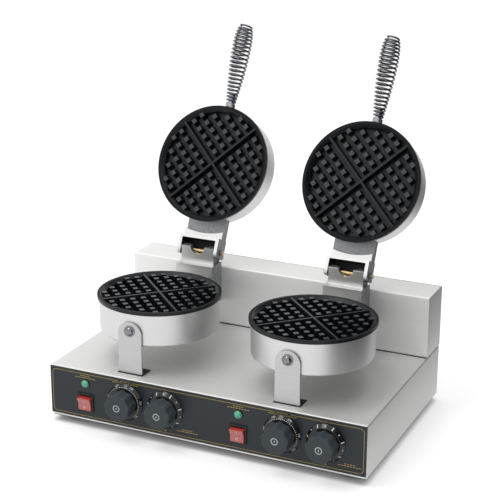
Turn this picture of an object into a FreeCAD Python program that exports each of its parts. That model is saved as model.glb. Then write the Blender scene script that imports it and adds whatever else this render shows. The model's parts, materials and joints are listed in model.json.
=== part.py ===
import FreeCAD, Part
import math
import os

# Twin round waffle baker, lids open. Millimetres, +Z up, the front looks along -Y.

V = FreeCAD.Vector
X_AXIS = V(1, 0, 0)
Y_AXIS = V(0, 1, 0)
Z_AXIS = V(0, 0, 1)
SIDES = (("left", -1), ("right", 1))

# Room between pieces that touch or turn, and how far a cutter runs past the face it cuts
SEAT_GAP = 0.15
OVERCUT = 1.0

# Cabinet
BASE_WIDTH = 510.0
BASE_HEIGHT = 82.0
REAR_DEPTH = 61.0
SHEET = 1.2
BEND_INSIDE = 1.2
RETURN_FLANGE = 15.0
FLOOR_INSET = 2.0
FOOT_HEIGHT = 9.0
FOOT_RADIUS = 13.0
FOOT_TAPER = 2.0
FOOT_STEM_RADIUS = 4.0
FOOT_STEM_LENGTH = 6.0
FOOT_BEAD = 1.0
FOOT_INSET = 34.0
WIRE_HOLE_WIDTH = 60.0
WIRE_HOLE_DEPTH = 22.0
VENT_WIDTH = 4.0
VENT_LENGTH = 44.0
VENT_PITCH = 12.0
VENT_COUNT = 9

# Heads
HEAD_PITCH = 253.0
CASE_INSET = 20.5
CASE_STAND = 45.1
CASE_RADIUS = 91.5
CASE_HEIGHT = 49.5
CASE_WALL = 1.2
CASE_BEND_INSIDE = 1.8
LID_DEPTH = 40.0
RIM_OVERHANG = 3.0
RIM_THICKNESS = 5.0
RIM_GAP = 0.6
PLATE_FIT = 0.6
CAVITY_WALL = 4.7
CAVITY_DEPTH = 13.0
PLATE_FLOOR = 7.0
RIM_LAND = 4.6
GRID_FIRST = 13.5
GRID_PITCH = 16.2
POST_BASE = 10.0
POST_TOP = 7.2
POST_DROP = 1.5
POST_EDGE = 1.0
RIB_BASE = 6.5
RIB_TOP = 3.6
RIB_DROP = 0.8
CROSS_ANGLE = 45.0

# Heating element and its clamp
HEATER_RADIUS = 4.0
HEATER_RING = 58.0
HEATER_BEND = 9.0
HEATER_LEG = 4.0
HEATER_GAP_ANGLE = 24.0
CLAMP_MARGIN = 14.0
CLAMP_NOTCH_GAP = 4.0
CLAMP_THICKNESS = 3.0
BOSS_RADIUS = 12.0
SPIGOT_RADIUS = 7.0
SPIGOT_PROUD = 2.0

# Front brackets
STRAP_WIDTH = 39.0
STRAP_THICKNESS = 3.0
STRAP_FLANGE = 26.0
STRAP_ABOVE_BOLT = 14.0
SLOT_CLEARANCE = 0.4
BOLT_DROP = 26.6
BOLT_RADIUS = 4.0
BOLT_CLEARANCE = 0.2
DOME_RADIUS = 7.0
DOME_HEIGHT = 5.0
WASHER_RADIUS = 8.6
WASHER_THICKNESS = 1.5
NUT_FLATS = 13.0
NUT_HEIGHT = 6.5

# Hinge, as measured from the pin
PIN_BEYOND_CASE = 48.3
PIN_RISE = 23.0
PIN_TO_HOUSING = 10.2
PIN_RADIUS = 3.0
PIN_CLEARANCE = 0.05
PIN_NUT_FLATS = 10.0
PIN_NUT_HEIGHT = 4.0
PIN_END = 1.6
OPEN_ANGLE = 116.0
LEDGE_GAP = 1.6
BLOCK_SHOULDER = 3.5
BLOCK_LEDGE = 12.5
BLOCK_BELOW_CASE = 5.0
BLOCK_PROUD = 8.0
NECK_WIDTH = 44.0
NECK_INSET = 9.0
UPSTAND_WIDTH = 57.0
UPSTAND_FRONT = 12.2
UPSTAND_RISE = 9.7
UPSTAND_WALL = 7.0
EAR_WIDTH = 12.0
EAR_BACK = 3.0
NOTCH_RADIUS = 12.0
STOP_DEPTH = 4.0
STOP_GAP = 0.3
FORK_CLEARANCE = 0.8
CHEEK = 5.4
FORK_FRONT = 14.8
FORK_WEB = 3.5
FORK_HEEL = 8.5
POCKET_GAP = 0.5
WINDOW_GAP = 1.9
LINTEL = 4.5
BRIDGE_INSET = 1.2
BRIDGE_FRONT = 2.2
RECESS_MARGIN = 16.5
RECESS_DEPTH = 7.0
HINGE_SCREW_RADIUS = 3.0
HINGE_SCREW_LENGTH = 18.0
HINGE_SCREW_SPREAD = 40.0
HINGE_SCREW_INSET = 12.0
HINGE_SCREW_FLATS = 10.0
HINGE_SCREW_HEAD = 4.0
ARM_SCREW_RADIUS = 2.5
ARM_SCREW_SPREAD = 30.0
ARM_SCREW_LENGTH = 14.0
ARM_SCREW_HEAD = 4.2
ARM_SCREW_HEAD_HEIGHT = 3.0
SCREW_CLEARANCE = 0.15

# Handles
COLLAR_RADIUS = 8.0
COLLAR_LENGTH = 13.0
STUD_RADIUS = 4.5
STUD_BOSS_RADIUS = 7.2
STUD_BOSS_GAP = 0.8
STUD_BOSS_LENGTH = 9.0
GRUB_RADIUS = 2.0
GRUB_DEPTH = 2.0
COIL_LENGTH = 134.0
COIL_TURNS = 20
COIL_CLOSENESS = 0.35
COIL_WIRE = 1.6
COIL_BASE_RADIUS = 8.4
COIL_BELLY_RADIUS = 16.8
COIL_TIP_RADIUS = 9.0
COIL_BELLY_AT = 0.68
COIL_CORE_LENGTH = 16.0
COIL_CORE_GAP = 0.3

# Controls, as measured from each head's centre line and from the base's bottom edge
PANEL_THICKNESS = 1.5
PANEL_SIDE_INSET = 0.6
PANEL_TOP_INSET = 1.4
PANEL_BOTTOM_INSET = 4.2
LAMP_OFFSET = -67.2
LAMP_HEIGHT = 61.0
SWITCH_OFFSET = -67.2
SWITCH_HEIGHT = 31.0
THERMOSTAT_OFFSET = 1.2
TIMER_OFFSET = 67.6
KNOB_HEIGHT = 44.9
SKIRT_RADIUS = 29.6
SKIRT_FACE_RADIUS = 24.6
SKIRT_DEPTH = 6.0
GRIP_RADIUS = 21.2
GRIP_DEPTH = 21.0
GRIP_CHAMFER = 1.2
GRIP_LOBES = 9
GRIP_SCALLOP_RADIUS = 18.0
GRIP_SCALLOP_BITE = 1.6
KNOB_GAP = 0.8
KNOB_RECESS_RADIUS = 9.0
KNOB_RECESS_DEPTH = 5.0
KNOB_SOCKET = 14.0
SPINDLE_RADIUS = 3.0
SPINDLE_CLEARANCE = 0.05
SPINDLE_COLLAR_RADIUS = 6.0
SPINDLE_COLLAR_LENGTH = 3.0
SPINDLE_CHAMBER_GAP = 0.5
SPINDLE_TAIL = 8.0
BUSHING_RADIUS = 5.0
BUSHING_PROUD = 4.0
BUSHING_FIT = 0.3
THERMOSTAT_SIZE = 36.0
THERMOSTAT_DEPTH = 26.0
TIMER_SIZE = 46.0
TIMER_DEPTH = 34.0
LAMP_LENS_RADIUS = 6.0
LAMP_LENS_PROUD = 4.0
LAMP_FLANGE_RADIUS = 7.2
LAMP_FLANGE_THICKNESS = 1.2
LAMP_BODY_RADIUS = 5.2
LAMP_BODY_LENGTH = 26.0
LAMP_FIT = 0.3
BEZEL_LIP = 1.4
BEZEL_THICKNESS = 2.0
SWITCH_WALL = 1.2
SWITCH_DEPTH = 26.0
SWITCH_CAVITY_DEPTH = 17.0
SWITCH_FIT = 0.3
ROCKER_WIDTH = 21.4
ROCKER_HEIGHT = 20.0
ROCKER_SIDE_GAP = 0.4
ROCKER_END_PROUD = 8.0
ROCKER_WAIST_PROUD = 6.0
ROCKER_BACK = 7.0
ROCKER_KEEL = 10.0
ROCKER_PIVOT_DEPTH = 3.0
ROCKER_TILT = 11.0
TRUNNION_RADIUS = 1.5
TRUNNION_LENGTH = 1.0

# Small fasteners and the inlet
COVER_SCREW_RADIUS = 2.0
COVER_SCREW_HEAD = 3.8
COVER_SCREW_HEAD_HEIGHT = 2.2
COVER_SCREW_LENGTH = 8.0
COVER_SCREW_INSET = 22.5
FLOOR_SCREW_COLUMNS = 4
REAR_SCREW_COLUMNS = 3
GLAND_INSET = 65.0
GLAND_HEIGHT = 30.0
GLAND_RADIUS = 8.0
GLAND_FLATS = 22.0
GLAND_HEX = 7.0
GLAND_DOME = 12.0
GLAND_DOME_TIP = 7.5
GLAND_BORE = 4.5
GLAND_NUT = 5.0

# Levels and places worked out from the sizes above
FLOOR_UNDER = FOOT_HEIGHT
BASE_BOTTOM = FLOOR_UNDER + SHEET
BASE_TOP = BASE_BOTTOM + BASE_HEIGHT
CASE_BOTTOM = BASE_TOP + CASE_STAND
CASE_TOP = CASE_BOTTOM + CASE_HEIGHT
PARTING = CASE_TOP + RIM_THICKNESS
PIN_Z = PARTING + PIN_RISE
HEAD_SETBACK = CASE_RADIUS + CASE_INSET
PIN_SETBACK = CASE_RADIUS + PIN_BEYOND_CASE
BASE_DEPTH = HEAD_SETBACK + PIN_SETBACK + PIN_TO_HOUSING + REAR_DEPTH
FRONT_REACH = PANEL_THICKNESS + KNOB_GAP + SKIRT_DEPTH + GRIP_DEPTH
RIM_RADIUS = CASE_RADIUS + RIM_OVERHANG
PLATE_RADIUS = CASE_RADIUS - CASE_WALL - PLATE_FIT
PLATE_UNDER = CAVITY_DEPTH + PLATE_FLOOR
CAVITY_RADIUS = PLATE_RADIUS - CAVITY_WALL
LAND_RADIUS = RIM_RADIUS - RIM_LAND
HEATER_LEVEL = PLATE_UNDER + SEAT_GAP + HEATER_RADIUS
CLAMP_RADIUS = HEATER_RING + CLAMP_MARGIN
CLAMP_LEVEL = HEATER_LEVEL + HEATER_RADIUS + SEAT_GAP
HANDLE_RISE = PLATE_UNDER + STUD_BOSS_GAP + STUD_BOSS_RADIUS

# The fork clears the upstand as it turns round it, and its heel is what stops the open lid
FORK_WIDTH = UPSTAND_WIDTH + 2 * FORK_CLEARANCE
BRIDGE_WIDTH = FORK_WIDTH + 2 * (CHEEK - BRIDGE_INSET)
BLOCK_WIDTH = UPSTAND_WIDTH + 2 * BLOCK_SHOULDER
FORK_POCKET = math.hypot(UPSTAND_RISE, UPSTAND_FRONT - UPSTAND_WALL) + POCKET_GAP
FORK_BACK = FORK_POCKET + FORK_WEB
WINDOW_TOP = math.hypot(UPSTAND_FRONT, UPSTAND_RISE) + WINDOW_GAP
FORK_TOP = WINDOW_TOP + LINTEL
RECESS_RADIUS = RIM_RADIUS + RECESS_MARGIN
LEAN = math.radians(OPEN_ANGLE - 90)
HEEL_BACK = FORK_BACK * math.cos(LEAN) - FORK_HEEL * math.sin(LEAN)
HEEL_DROP = FORK_BACK * math.sin(LEAN) + FORK_HEEL * math.cos(LEAN)
LEDGE_DROP = max(FORK_FRONT, HEEL_DROP) + LEDGE_GAP

# Handle coil: half turns of wire from the collar to the tip
COIL_HALVES = 2 * COIL_TURNS
COIL_RISE = COIL_LENGTH - 2 * COIL_WIRE
COIL_OUT = CASE_RADIUS + COLLAR_LENGTH + COIL_WIRE


def coil_place(share):
    """Share of the coil's length that a share of its turns takes up: the end turns lie closer together."""
    return share - COIL_CLOSENESS * math.sin(2 * math.pi * share) / (2 * math.pi)


def coil_radius(place):
    """Centre line radius of the wire, at a share of the coil's length: a cone, then a rounded tip."""
    base = COIL_BASE_RADIUS - COIL_WIRE
    belly = COIL_BELLY_RADIUS - COIL_WIRE
    tip = COIL_TIP_RADIUS - COIL_WIRE
    if place < COIL_BELLY_AT:
        return base + (belly - base) * math.sin(math.pi / 2 * place / COIL_BELLY_AT)
    late = (place - COIL_BELLY_AT) / (1 - COIL_BELLY_AT)
    return tip + (belly - tip) * math.sqrt(1 - late ** 2)


def coil_rear():
    """How far behind the pin the open lid's rearmost turn of wire lies."""
    level = RIM_GAP + HANDLE_RISE - PIN_RISE
    reaches = []
    for k in range(COIL_HALVES):
        place = coil_place((k + 0.5) / COIL_HALVES)
        out = PIN_SETBACK + COIL_OUT + COIL_RISE * place
        reaches.append(out * math.sin(LEAN) + (level + coil_radius(place)) * math.cos(LEAN))
    return max(reaches) + COIL_WIRE


# The origin is midway below the whole, from the knobs in front to the open coils behind
REAR_REACH = HEAD_SETBACK + PIN_SETBACK + coil_rear()
FRONT_Y = (FRONT_REACH - REAR_REACH) / 2

HEAD_Y = FRONT_Y + HEAD_SETBACK
PIN_Y = HEAD_Y + PIN_SETBACK
REAR_Y = PIN_Y + PIN_TO_HOUSING
BACK_Y = FRONT_Y + BASE_DEPTH
GLAND_X = BASE_WIDTH / 2 - GLAND_INSET
WALL_Y = FRONT_Y + SHEET
PANEL_Y = FRONT_Y - PANEL_THICKNESS
KNOB_Y = PANEL_Y - KNOB_GAP
LEDGE_Z = PIN_Z - LEDGE_DROP
REAR_TOP = LEDGE_Z - BLOCK_PROUD
BOLT_Z = CASE_TOP - BOLT_DROP
STRAP_Y = HEAD_Y - CASE_RADIUS - SEAT_GAP


def block(x0, x1, y0, y1, z0, z1):
    return Part.makeBox(x1 - x0, y1 - y0, z1 - z0, V(x0, y0, z0))


def bar(radius, start, end):
    return Part.makeCylinder(radius, (end - start).Length, start, end - start)


def prism(points, x0, x1):
    """Side outline of (y, z) points, drawn out along X."""
    corners = [V(x0, y, z) for y, z in points]
    face = Part.Face(Part.makePolygon(corners + corners[:1]))
    return face.extrude(V(x1 - x0, 0, 0))


def hexagon(flats, start, end):
    """Hexagonal bar between two points, with two flats across X or Y."""
    bar_axis = end - start
    corner = flats / math.sqrt(3)
    turn = FreeCAD.Rotation(Z_AXIS, bar_axis)
    angles = [math.radians(60 * k) for k in range(6)]
    corners = [start + turn.multVec(V(corner * math.cos(a), corner * math.sin(a), 0)) for a in angles]
    return Part.Face(Part.makePolygon(corners + corners[:1])).extrude(bar_axis)


def revolved(points):
    """Closed outline of (radius, z) points, turned about Z."""
    corners = [V(r, 0, z) for r, z in points]
    return Part.Face(Part.makePolygon(corners + corners[:1])).revolve(V(0, 0, 0), Z_AXIS, 360)


def joined(shapes):
    whole = shapes[0].multiFuse(shapes[1:])
    return whole.removeSplitter()


def save(name, shapes):
    whole = shapes[0] if len(shapes) == 1 else Part.makeCompound(shapes)
    whole.exportStep("parts/" + name + ".step")


def moved(shape, x, y, z):
    copy = shape.copy()
    copy.translate(V(x, y, z))
    return copy


def opened(shape):
    """Swing a closed lid piece back onto its stop."""
    copy = shape.copy()
    copy.rotate(V(0, PIN_Y, PIN_Z), X_AXIS, -OPEN_ANGLE)
    return copy


def evenly(first, last, count):
    return [first + (last - first) * k / (count - 1) for k in range(count)]


# Fastener places that two or more pieces share

def floor_screw_places():
    edge = RETURN_FLANGE / 2
    across = BASE_WIDTH / 2 - COVER_SCREW_INSET
    columns = evenly(-across, across, FLOOR_SCREW_COLUMNS)
    rows = (FRONT_Y + edge + SHEET, BACK_Y - edge - SHEET)
    return [(x, y) for x in columns for y in rows]


def rear_screw_places():
    edge = RETURN_FLANGE / 2
    across = BASE_WIDTH / 2 - COVER_SCREW_INSET
    columns = evenly(-across, across, REAR_SCREW_COLUMNS)
    rows = (BASE_TOP + edge + SHEET, REAR_TOP - edge - SHEET)
    return [(x, z) for x in columns for z in rows]


def foot_places():
    across = BASE_WIDTH / 2 - FOOT_INSET
    rows = (FRONT_Y + FOOT_INSET, BACK_Y - FOOT_INSET)
    return [(side * across, y) for _, side in SIDES for y in rows]


def hinge_screw_places(head_x):
    foot = CASE_BOTTOM - BLOCK_BELOW_CASE + HINGE_SCREW_INSET
    rows = (foot, CASE_TOP - HINGE_SCREW_INSET)
    return [(head_x + side * HINGE_SCREW_SPREAD / 2, z) for _, side in SIDES for z in rows]


# Cabinet

def sheet_box(x0, x1, y0, y1, z0, z1):
    """Folded box of sheet metal, closed all round, with bent edges."""
    outer = block(x0, x1, y0, y1, z0, z1)
    outer = outer.makeFillet(BEND_INSIDE + SHEET, outer.Edges)
    inner = block(x0 + SHEET, x1 - SHEET, y0 + SHEET, y1 - SHEET, z0 + SHEET, z1 - SHEET)
    inner = inner.makeFillet(BEND_INSIDE, inner.Edges)
    return outer.cut(inner)


def control_cuts(head_x, y0, y1):
    """What has to be cut from the front wall and the panel for one head's controls."""
    cuts = []
    for offset in (THERMOSTAT_OFFSET, TIMER_OFFSET):
        x = head_x + offset
        z = BASE_BOTTOM + KNOB_HEIGHT
        cuts.append(bar(BUSHING_RADIUS + BUSHING_FIT, V(x, y0, z), V(x, y1, z)))
    x = head_x + LAMP_OFFSET
    z = BASE_BOTTOM + LAMP_HEIGHT
    cuts.append(bar(LAMP_BODY_RADIUS + LAMP_FIT, V(x, y0, z), V(x, y1, z)))
    x = head_x + SWITCH_OFFSET
    z = BASE_BOTTOM + SWITCH_HEIGHT
    half_width, half_height = switch_half_size()
    half_width += SWITCH_FIT
    half_height += SWITCH_FIT
    cuts.append(block(x - half_width, x + half_width, y0, y1, z - half_height, z + half_height))
    return cuts


def strap_cut(head_x):
    gap = SLOT_CLEARANCE
    half = STRAP_WIDTH / 2 + gap
    y0 = STRAP_Y - STRAP_THICKNESS - gap
    return block(head_x - half, head_x + half, y0, STRAP_Y + gap, BASE_TOP - 2 * SHEET, BASE_TOP + SHEET)


def wire_hole(head_x):
    half = WIRE_HOLE_WIDTH / 2
    middle = (REAR_Y + BACK_Y) / 2
    y0 = middle - WIRE_HOLE_DEPTH / 2
    y1 = y0 + WIRE_HOLE_DEPTH
    return block(head_x - half, head_x + half, y0, y1, BASE_TOP - 2 * SHEET, BASE_TOP + SHEET)


def base_cover():
    half = BASE_WIDTH / 2
    cover = sheet_box(-half, half, FRONT_Y, BACK_Y, BASE_BOTTOM, BASE_TOP)
    edge = RETURN_FLANGE
    cuts = [block(-half + edge, half - edge, FRONT_Y + edge, BACK_Y - edge,
                  BASE_BOTTOM - SHEET, BASE_BOTTOM + 2 * SHEET)]
    for _, side in SIDES:
        head_x = side * HEAD_PITCH / 2
        cuts += control_cuts(head_x, FRONT_Y - SHEET, WALL_Y + SHEET)
        cuts.append(strap_cut(head_x))
        cuts.append(wire_hole(head_x))
    hole = COVER_SCREW_RADIUS + SCREW_CLEARANCE
    for x, y in floor_screw_places():
        cuts.append(bar(hole, V(x, y, BASE_BOTTOM - SHEET), V(x, y, BASE_BOTTOM + 2 * SHEET)))
    z = BASE_BOTTOM + GLAND_HEIGHT
    hole = GLAND_RADIUS + SCREW_CLEARANCE
    cuts.append(bar(hole, V(GLAND_X, BACK_Y - 2 * SHEET, z), V(GLAND_X, BACK_Y + SHEET, z)))
    return cover.cut(cuts)


def slots(middle_x, place_slot):
    """A row of vent slots side by side along X."""
    first = middle_x - VENT_PITCH * (VENT_COUNT - 1) / 2
    return [place_slot(first + VENT_PITCH * k) for k in range(VENT_COUNT)]


def base_floor():
    half = BASE_WIDTH / 2 - FLOOR_INSET
    y0 = FRONT_Y + FLOOR_INSET
    y1 = BACK_Y - FLOOR_INSET
    floor = block(-half, half, y0, y1, FLOOR_UNDER, BASE_BOTTOM)
    middle = (y0 + y1) / 2
    low = FLOOR_UNDER - SHEET
    high = BASE_BOTTOM + SHEET
    wide = VENT_WIDTH / 2
    long = VENT_LENGTH / 2

    def slot(x):
        return block(x - wide, x + wide, middle - long, middle + long, low, high)

    cuts = []
    for _, side in SIDES:
        cuts += slots(side * HEAD_PITCH / 2, slot)
    hole = COVER_SCREW_RADIUS + SCREW_CLEARANCE
    for x, y in floor_screw_places():
        cuts.append(bar(hole, V(x, y, low), V(x, y, high)))
    stem = FOOT_STEM_RADIUS + SCREW_CLEARANCE
    for x, y in foot_places():
        cuts.append(bar(stem, V(x, y, low), V(x, y, high)))
    return floor.cut(cuts)


def foot():
    """Push-in rubber foot: a tapered pad with a beaded stem that grips the floor plate."""
    bead = FOOT_STEM_RADIUS + FOOT_BEAD
    grip = BASE_BOTTOM + SCREW_CLEARANCE
    top = FOOT_HEIGHT + FOOT_STEM_LENGTH
    return revolved([(0, 0), (FOOT_RADIUS - FOOT_TAPER, 0), (FOOT_RADIUS, FOOT_HEIGHT),
                     (FOOT_STEM_RADIUS, FOOT_HEIGHT), (FOOT_STEM_RADIUS, grip), (bead, grip),
                     (FOOT_STEM_RADIUS, top), (0, top)])


def feet():
    pad = foot()
    return [moved(pad, x, y, 0) for x, y in foot_places()]


def rear_housing():
    half = BASE_WIDTH / 2
    back = BACK_Y - SHEET
    housing = sheet_box(-half, half, REAR_Y, back, BASE_TOP, REAR_TOP)
    edge = RETURN_FLANGE
    across = half - edge
    cuts = [block(-across, across, REAR_Y + edge, back - edge, BASE_TOP - SHEET, BASE_TOP + 2 * SHEET),
            block(-across, across, back - 2 * SHEET, back + SHEET, BASE_TOP + edge, REAR_TOP - edge)]
    hole = HINGE_SCREW_RADIUS + SCREW_CLEARANCE
    for _, side in SIDES:
        for x, z in hinge_screw_places(side * HEAD_PITCH / 2):
            cuts.append(bar(hole, V(x, REAR_Y - SHEET, z), V(x, REAR_Y + 2 * SHEET, z)))
    hole = COVER_SCREW_RADIUS + SCREW_CLEARANCE
    for x, z in rear_screw_places():
        cuts.append(bar(hole, V(x, back - 2 * SHEET, z), V(x, back + SHEET, z)))
    return housing.cut(cuts)


def rear_cover():
    half = BASE_WIDTH / 2
    front = BACK_Y - SHEET
    cover = block(-half, half, front, BACK_Y, BASE_TOP, REAR_TOP)
    corners = [e for e in cover.Edges if abs(e.Vertexes[0].Y - e.Vertexes[1].Y) > SHEET / 2]
    cover = cover.makeFillet(BEND_INSIDE + SHEET, corners)
    middle = (BASE_TOP + REAR_TOP) / 2
    wide = VENT_WIDTH / 2
    long = VENT_LENGTH / 2

    def slot(x):
        return block(x - wide, x + wide, front - SHEET, BACK_Y + SHEET, middle - long, middle + long)

    cuts = []
    for _, side in SIDES:
        cuts += slots(side * HEAD_PITCH / 2, slot)
    hole = COVER_SCREW_RADIUS + SCREW_CLEARANCE
    for x, z in rear_screw_places():
        cuts.append(bar(hole, V(x, front - SHEET, z), V(x, BACK_Y + SHEET, z)))
    return cover.cut(cuts)


def pan_screw(seat, inward):
    """Pan-head screw: its head stands on seat, its shank goes inward."""
    head = bar(COVER_SCREW_HEAD, seat, seat - inward * COVER_SCREW_HEAD_HEIGHT)
    shank = bar(COVER_SCREW_RADIUS, seat, seat + inward * COVER_SCREW_LENGTH)
    rim = [e for e in head.Edges if e.Closed]
    far = max(rim, key=lambda e: (e.CenterOfMass - seat).Length)
    return joined([head.makeFillet(COVER_SCREW_HEAD_HEIGHT / 2, [far]), shank])


def cover_screws():
    screws = [pan_screw(V(x, y, FLOOR_UNDER), Z_AXIS) for x, y in floor_screw_places()]
    screws += [pan_screw(V(x, BACK_Y, z), -Y_AXIS) for x, z in rear_screw_places()]
    return screws


def control_panel():
    half = BASE_WIDTH / 2 - PANEL_SIDE_INSET
    z0 = BASE_BOTTOM + PANEL_BOTTOM_INSET
    z1 = BASE_TOP - PANEL_TOP_INSET
    panel = block(-half, half, PANEL_Y, FRONT_Y, z0, z1)
    cuts = []
    for _, side in SIDES:
        cuts += control_cuts(side * HEAD_PITCH / 2, PANEL_Y - SHEET, FRONT_Y + SHEET)
    return panel.cut(cuts)


def cable_gland():
    """Hex body with a domed nut outside, a thread through the wall and a lock nut inside."""
    z = BASE_BOTTOM + GLAND_HEIGHT
    wall = V(GLAND_X, BACK_Y, z)
    hex_end = wall + Y_AXIS * GLAND_HEX
    dome_end = hex_end + Y_AXIS * GLAND_DOME
    inside = wall - Y_AXIS * (SHEET + GLAND_NUT)
    dome = Part.makeCone(GLAND_FLATS / 2, GLAND_DOME_TIP, GLAND_DOME, hex_end, Y_AXIS)
    thread = bar(GLAND_RADIUS, wall, inside)
    nut = hexagon(GLAND_FLATS, wall - Y_AXIS * SHEET, inside)
    body = joined([hexagon(GLAND_FLATS, wall, hex_end), dome, thread, nut])
    return body.cut(bar(GLAND_BORE, inside - Y_AXIS * OVERCUT, dome_end + Y_AXIS * OVERCUT))


# Heads, drawn with the plate's face at z = 0, looking up, and the case below it

def post(x, y):
    """Square grid post, tapered to its top."""
    floor = -CAVITY_DEPTH - PLATE_FLOOR / 2
    top = -POST_DROP
    height = top - floor
    slope = (POST_BASE - POST_TOP) / (CAVITY_DEPTH - POST_DROP)
    low = POST_BASE / 2 + slope * PLATE_FLOOR / 4
    high = POST_TOP / 2
    shape = Part.makeWedge(-low, 0, -low, -high, -high, low, height, low, high, high)
    shape.rotate(V(0, 0, 0), X_AXIS, 90)
    shape.translate(V(x, y, floor))
    return shape


def quadrant_places():
    """Post centres of the first quadrant, in steps of the grid, up to the cavity's wall."""
    reach = CAVITY_RADIUS - POST_EDGE
    count = int((reach - GRID_FIRST) / GRID_PITCH) + 1
    steps = [GRID_FIRST + GRID_PITCH * k for k in range(count)]
    return [(x, y) for x in steps for y in steps if math.hypot(x, y) < reach]


def grid_room():
    """What the cross and the posts may fill: the cavity, and half way into the wall and rim round it."""
    floor = -CAVITY_DEPTH - PLATE_FLOOR / 2
    wall = (CAVITY_RADIUS + PLATE_RADIUS) / 2
    rim = (LAND_RADIUS + RIM_RADIUS) / 2
    return revolved([(0, floor), (wall, floor), (wall, -RIM_THICKNESS), (rim, -RIM_THICKNESS), (rim, 0), (0, 0)])


def rib():
    """One bar of the cross, right across the plate."""
    floor = -CAVITY_DEPTH - PLATE_FLOOR / 2
    top = -RIB_DROP
    outline = [(-RIB_BASE / 2, floor), (RIB_BASE / 2, floor), (RIB_BASE / 2, -CAVITY_DEPTH),
               (RIB_TOP / 2, top), (-RIB_TOP / 2, top), (-RIB_BASE / 2, -CAVITY_DEPTH)]
    return prism(outline, -RIM_RADIUS, RIM_RADIUS)


def plate():
    """Cast plate: narrow flat rim, deep cavity with a sloped mouth, grid posts in four fields, boss below."""
    under = -PLATE_UNDER
    shoulder = -CLAMP_LEVEL
    spigot = shoulder - CLAMP_THICKNESS - SPIGOT_PROUD
    body = revolved([(0, spigot), (SPIGOT_RADIUS, spigot), (SPIGOT_RADIUS, shoulder), (BOSS_RADIUS, shoulder),
                     (BOSS_RADIUS, under), (PLATE_RADIUS, under), (PLATE_RADIUS, -RIM_THICKNESS),
                     (RIM_RADIUS, -RIM_THICKNESS), (RIM_RADIUS, 0), (LAND_RADIUS, 0),
                     (CAVITY_RADIUS, -RIM_THICKNESS), (CAVITY_RADIUS, -CAVITY_DEPTH), (0, -CAVITY_DEPTH)])
    raised = [rib(), rib()]
    raised[1].rotate(V(0, 0, 0), Z_AXIS, 90)
    for x, y in quadrant_places():
        raised += [post(x, y), post(-x, y), post(x, -y), post(-x, -y)]
    room = grid_room()
    whole = joined([body] + [shape.common(room) for shape in raised])
    whole.rotate(V(0, 0, 0), Z_AXIS, CROSS_ANGLE)
    return whole


def cup(depth):
    """Round steel case, open at the top, with a rounded bottom edge."""
    top = -RIM_THICKNESS
    bottom = top - depth
    outer = Part.makeCylinder(CASE_RADIUS, depth, V(0, 0, bottom))
    low_edge = min(outer.Edges, key=lambda e: e.CenterOfMass.z)
    outer = outer.makeFillet(CASE_BEND_INSIDE + CASE_WALL, [low_edge])
    inner_radius = CASE_RADIUS - CASE_WALL
    inner = Part.makeCylinder(inner_radius, depth, V(0, 0, bottom + CASE_WALL))
    low_edge = min(inner.Edges, key=lambda e: e.CenterOfMass.z)
    inner = inner.makeFillet(CASE_BEND_INSIDE, [low_edge])
    return outer.cut(inner)


def heater():
    """Tubular element: a ring below the plate with both ends bent down, open towards the hinge."""
    level = -HEATER_LEVEL
    half_gap = math.radians(HEATER_GAP_ANGLE / 2)
    start = math.pi / 2 + half_gap
    end = math.pi / 2 - half_gap

    def ring_point(angle):
        return V(HEATER_RING * math.cos(angle), HEATER_RING * math.sin(angle), level)

    first = ring_point(start)
    last = ring_point(end)
    ring = Part.Arc(first, V(0, -HEATER_RING, level), last).toShape()
    edges = [ring]
    for corner, angle, turn in ((first, start, -1), (last, end, 1)):
        along = V(-math.sin(angle), math.cos(angle), 0) * turn
        slant = math.sqrt(0.5) * HEATER_BEND
        middle = corner + along * slant + V(0, 0, slant - HEATER_BEND)
        low = corner + along * HEATER_BEND - V(0, 0, HEATER_BEND)
        edges.append(Part.Arc(corner, middle, low).toShape())
        edges.append(Part.makeLine(low, low - V(0, 0, HEATER_LEG)))
    path = Part.Wire(Part.sortEdges(edges)[0])
    tip = path.OrderedVertexes[0].Point
    section = Part.Wire(Part.makeCircle(HEATER_RADIUS, tip, Z_AXIS))
    return path.makePipeShell([section], True, True)


def clamp():
    """Round plate that presses the element on, seated on the plate's boss, notched for the element's ends."""
    top = -CLAMP_LEVEL
    disc = Part.makeCylinder(CLAMP_RADIUS, CLAMP_THICKNESS, V(0, 0, top - CLAMP_THICKNESS))
    hole = bar(SPIGOT_RADIUS + SEAT_GAP, V(0, 0, top - CLAMP_THICKNESS - OVERCUT), V(0, 0, top + OVERCUT))
    half = HEATER_RING * math.sin(math.radians(HEATER_GAP_ANGLE / 2)) + HEATER_RADIUS + CLAMP_NOTCH_GAP
    inner = HEATER_RING - HEATER_RADIUS - 2 * CLAMP_NOTCH_GAP
    low = top - CLAMP_THICKNESS - OVERCUT
    notch = block(-half, half, inner, CLAMP_RADIUS + OVERCUT, low, top + OVERCUT)
    return disc.cut([hole, notch])


def lower(shape, head_x):
    return moved(shape, head_x, HEAD_Y, PARTING)


def closed_lid(shape, head_x):
    """Turn a head piece upside down over the lower one."""
    copy = shape.copy()
    copy.rotate(V(0, 0, 0), Y_AXIS, 180)
    return moved(copy, head_x, HEAD_Y, PARTING + RIM_GAP)


def lid(shape, head_x):
    return opened(closed_lid(shape, head_x))


def lower_case(head_x):
    case = lower(cup(CASE_HEIGHT), head_x)
    front = HEAD_Y - CASE_RADIUS
    hole = BOLT_RADIUS + BOLT_CLEARANCE
    inside = front + CASE_WALL + OVERCUT
    return case.cut(bar(hole, V(head_x, front - OVERCUT, BOLT_Z), V(head_x, inside, BOLT_Z)))


# Front brackets

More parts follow.
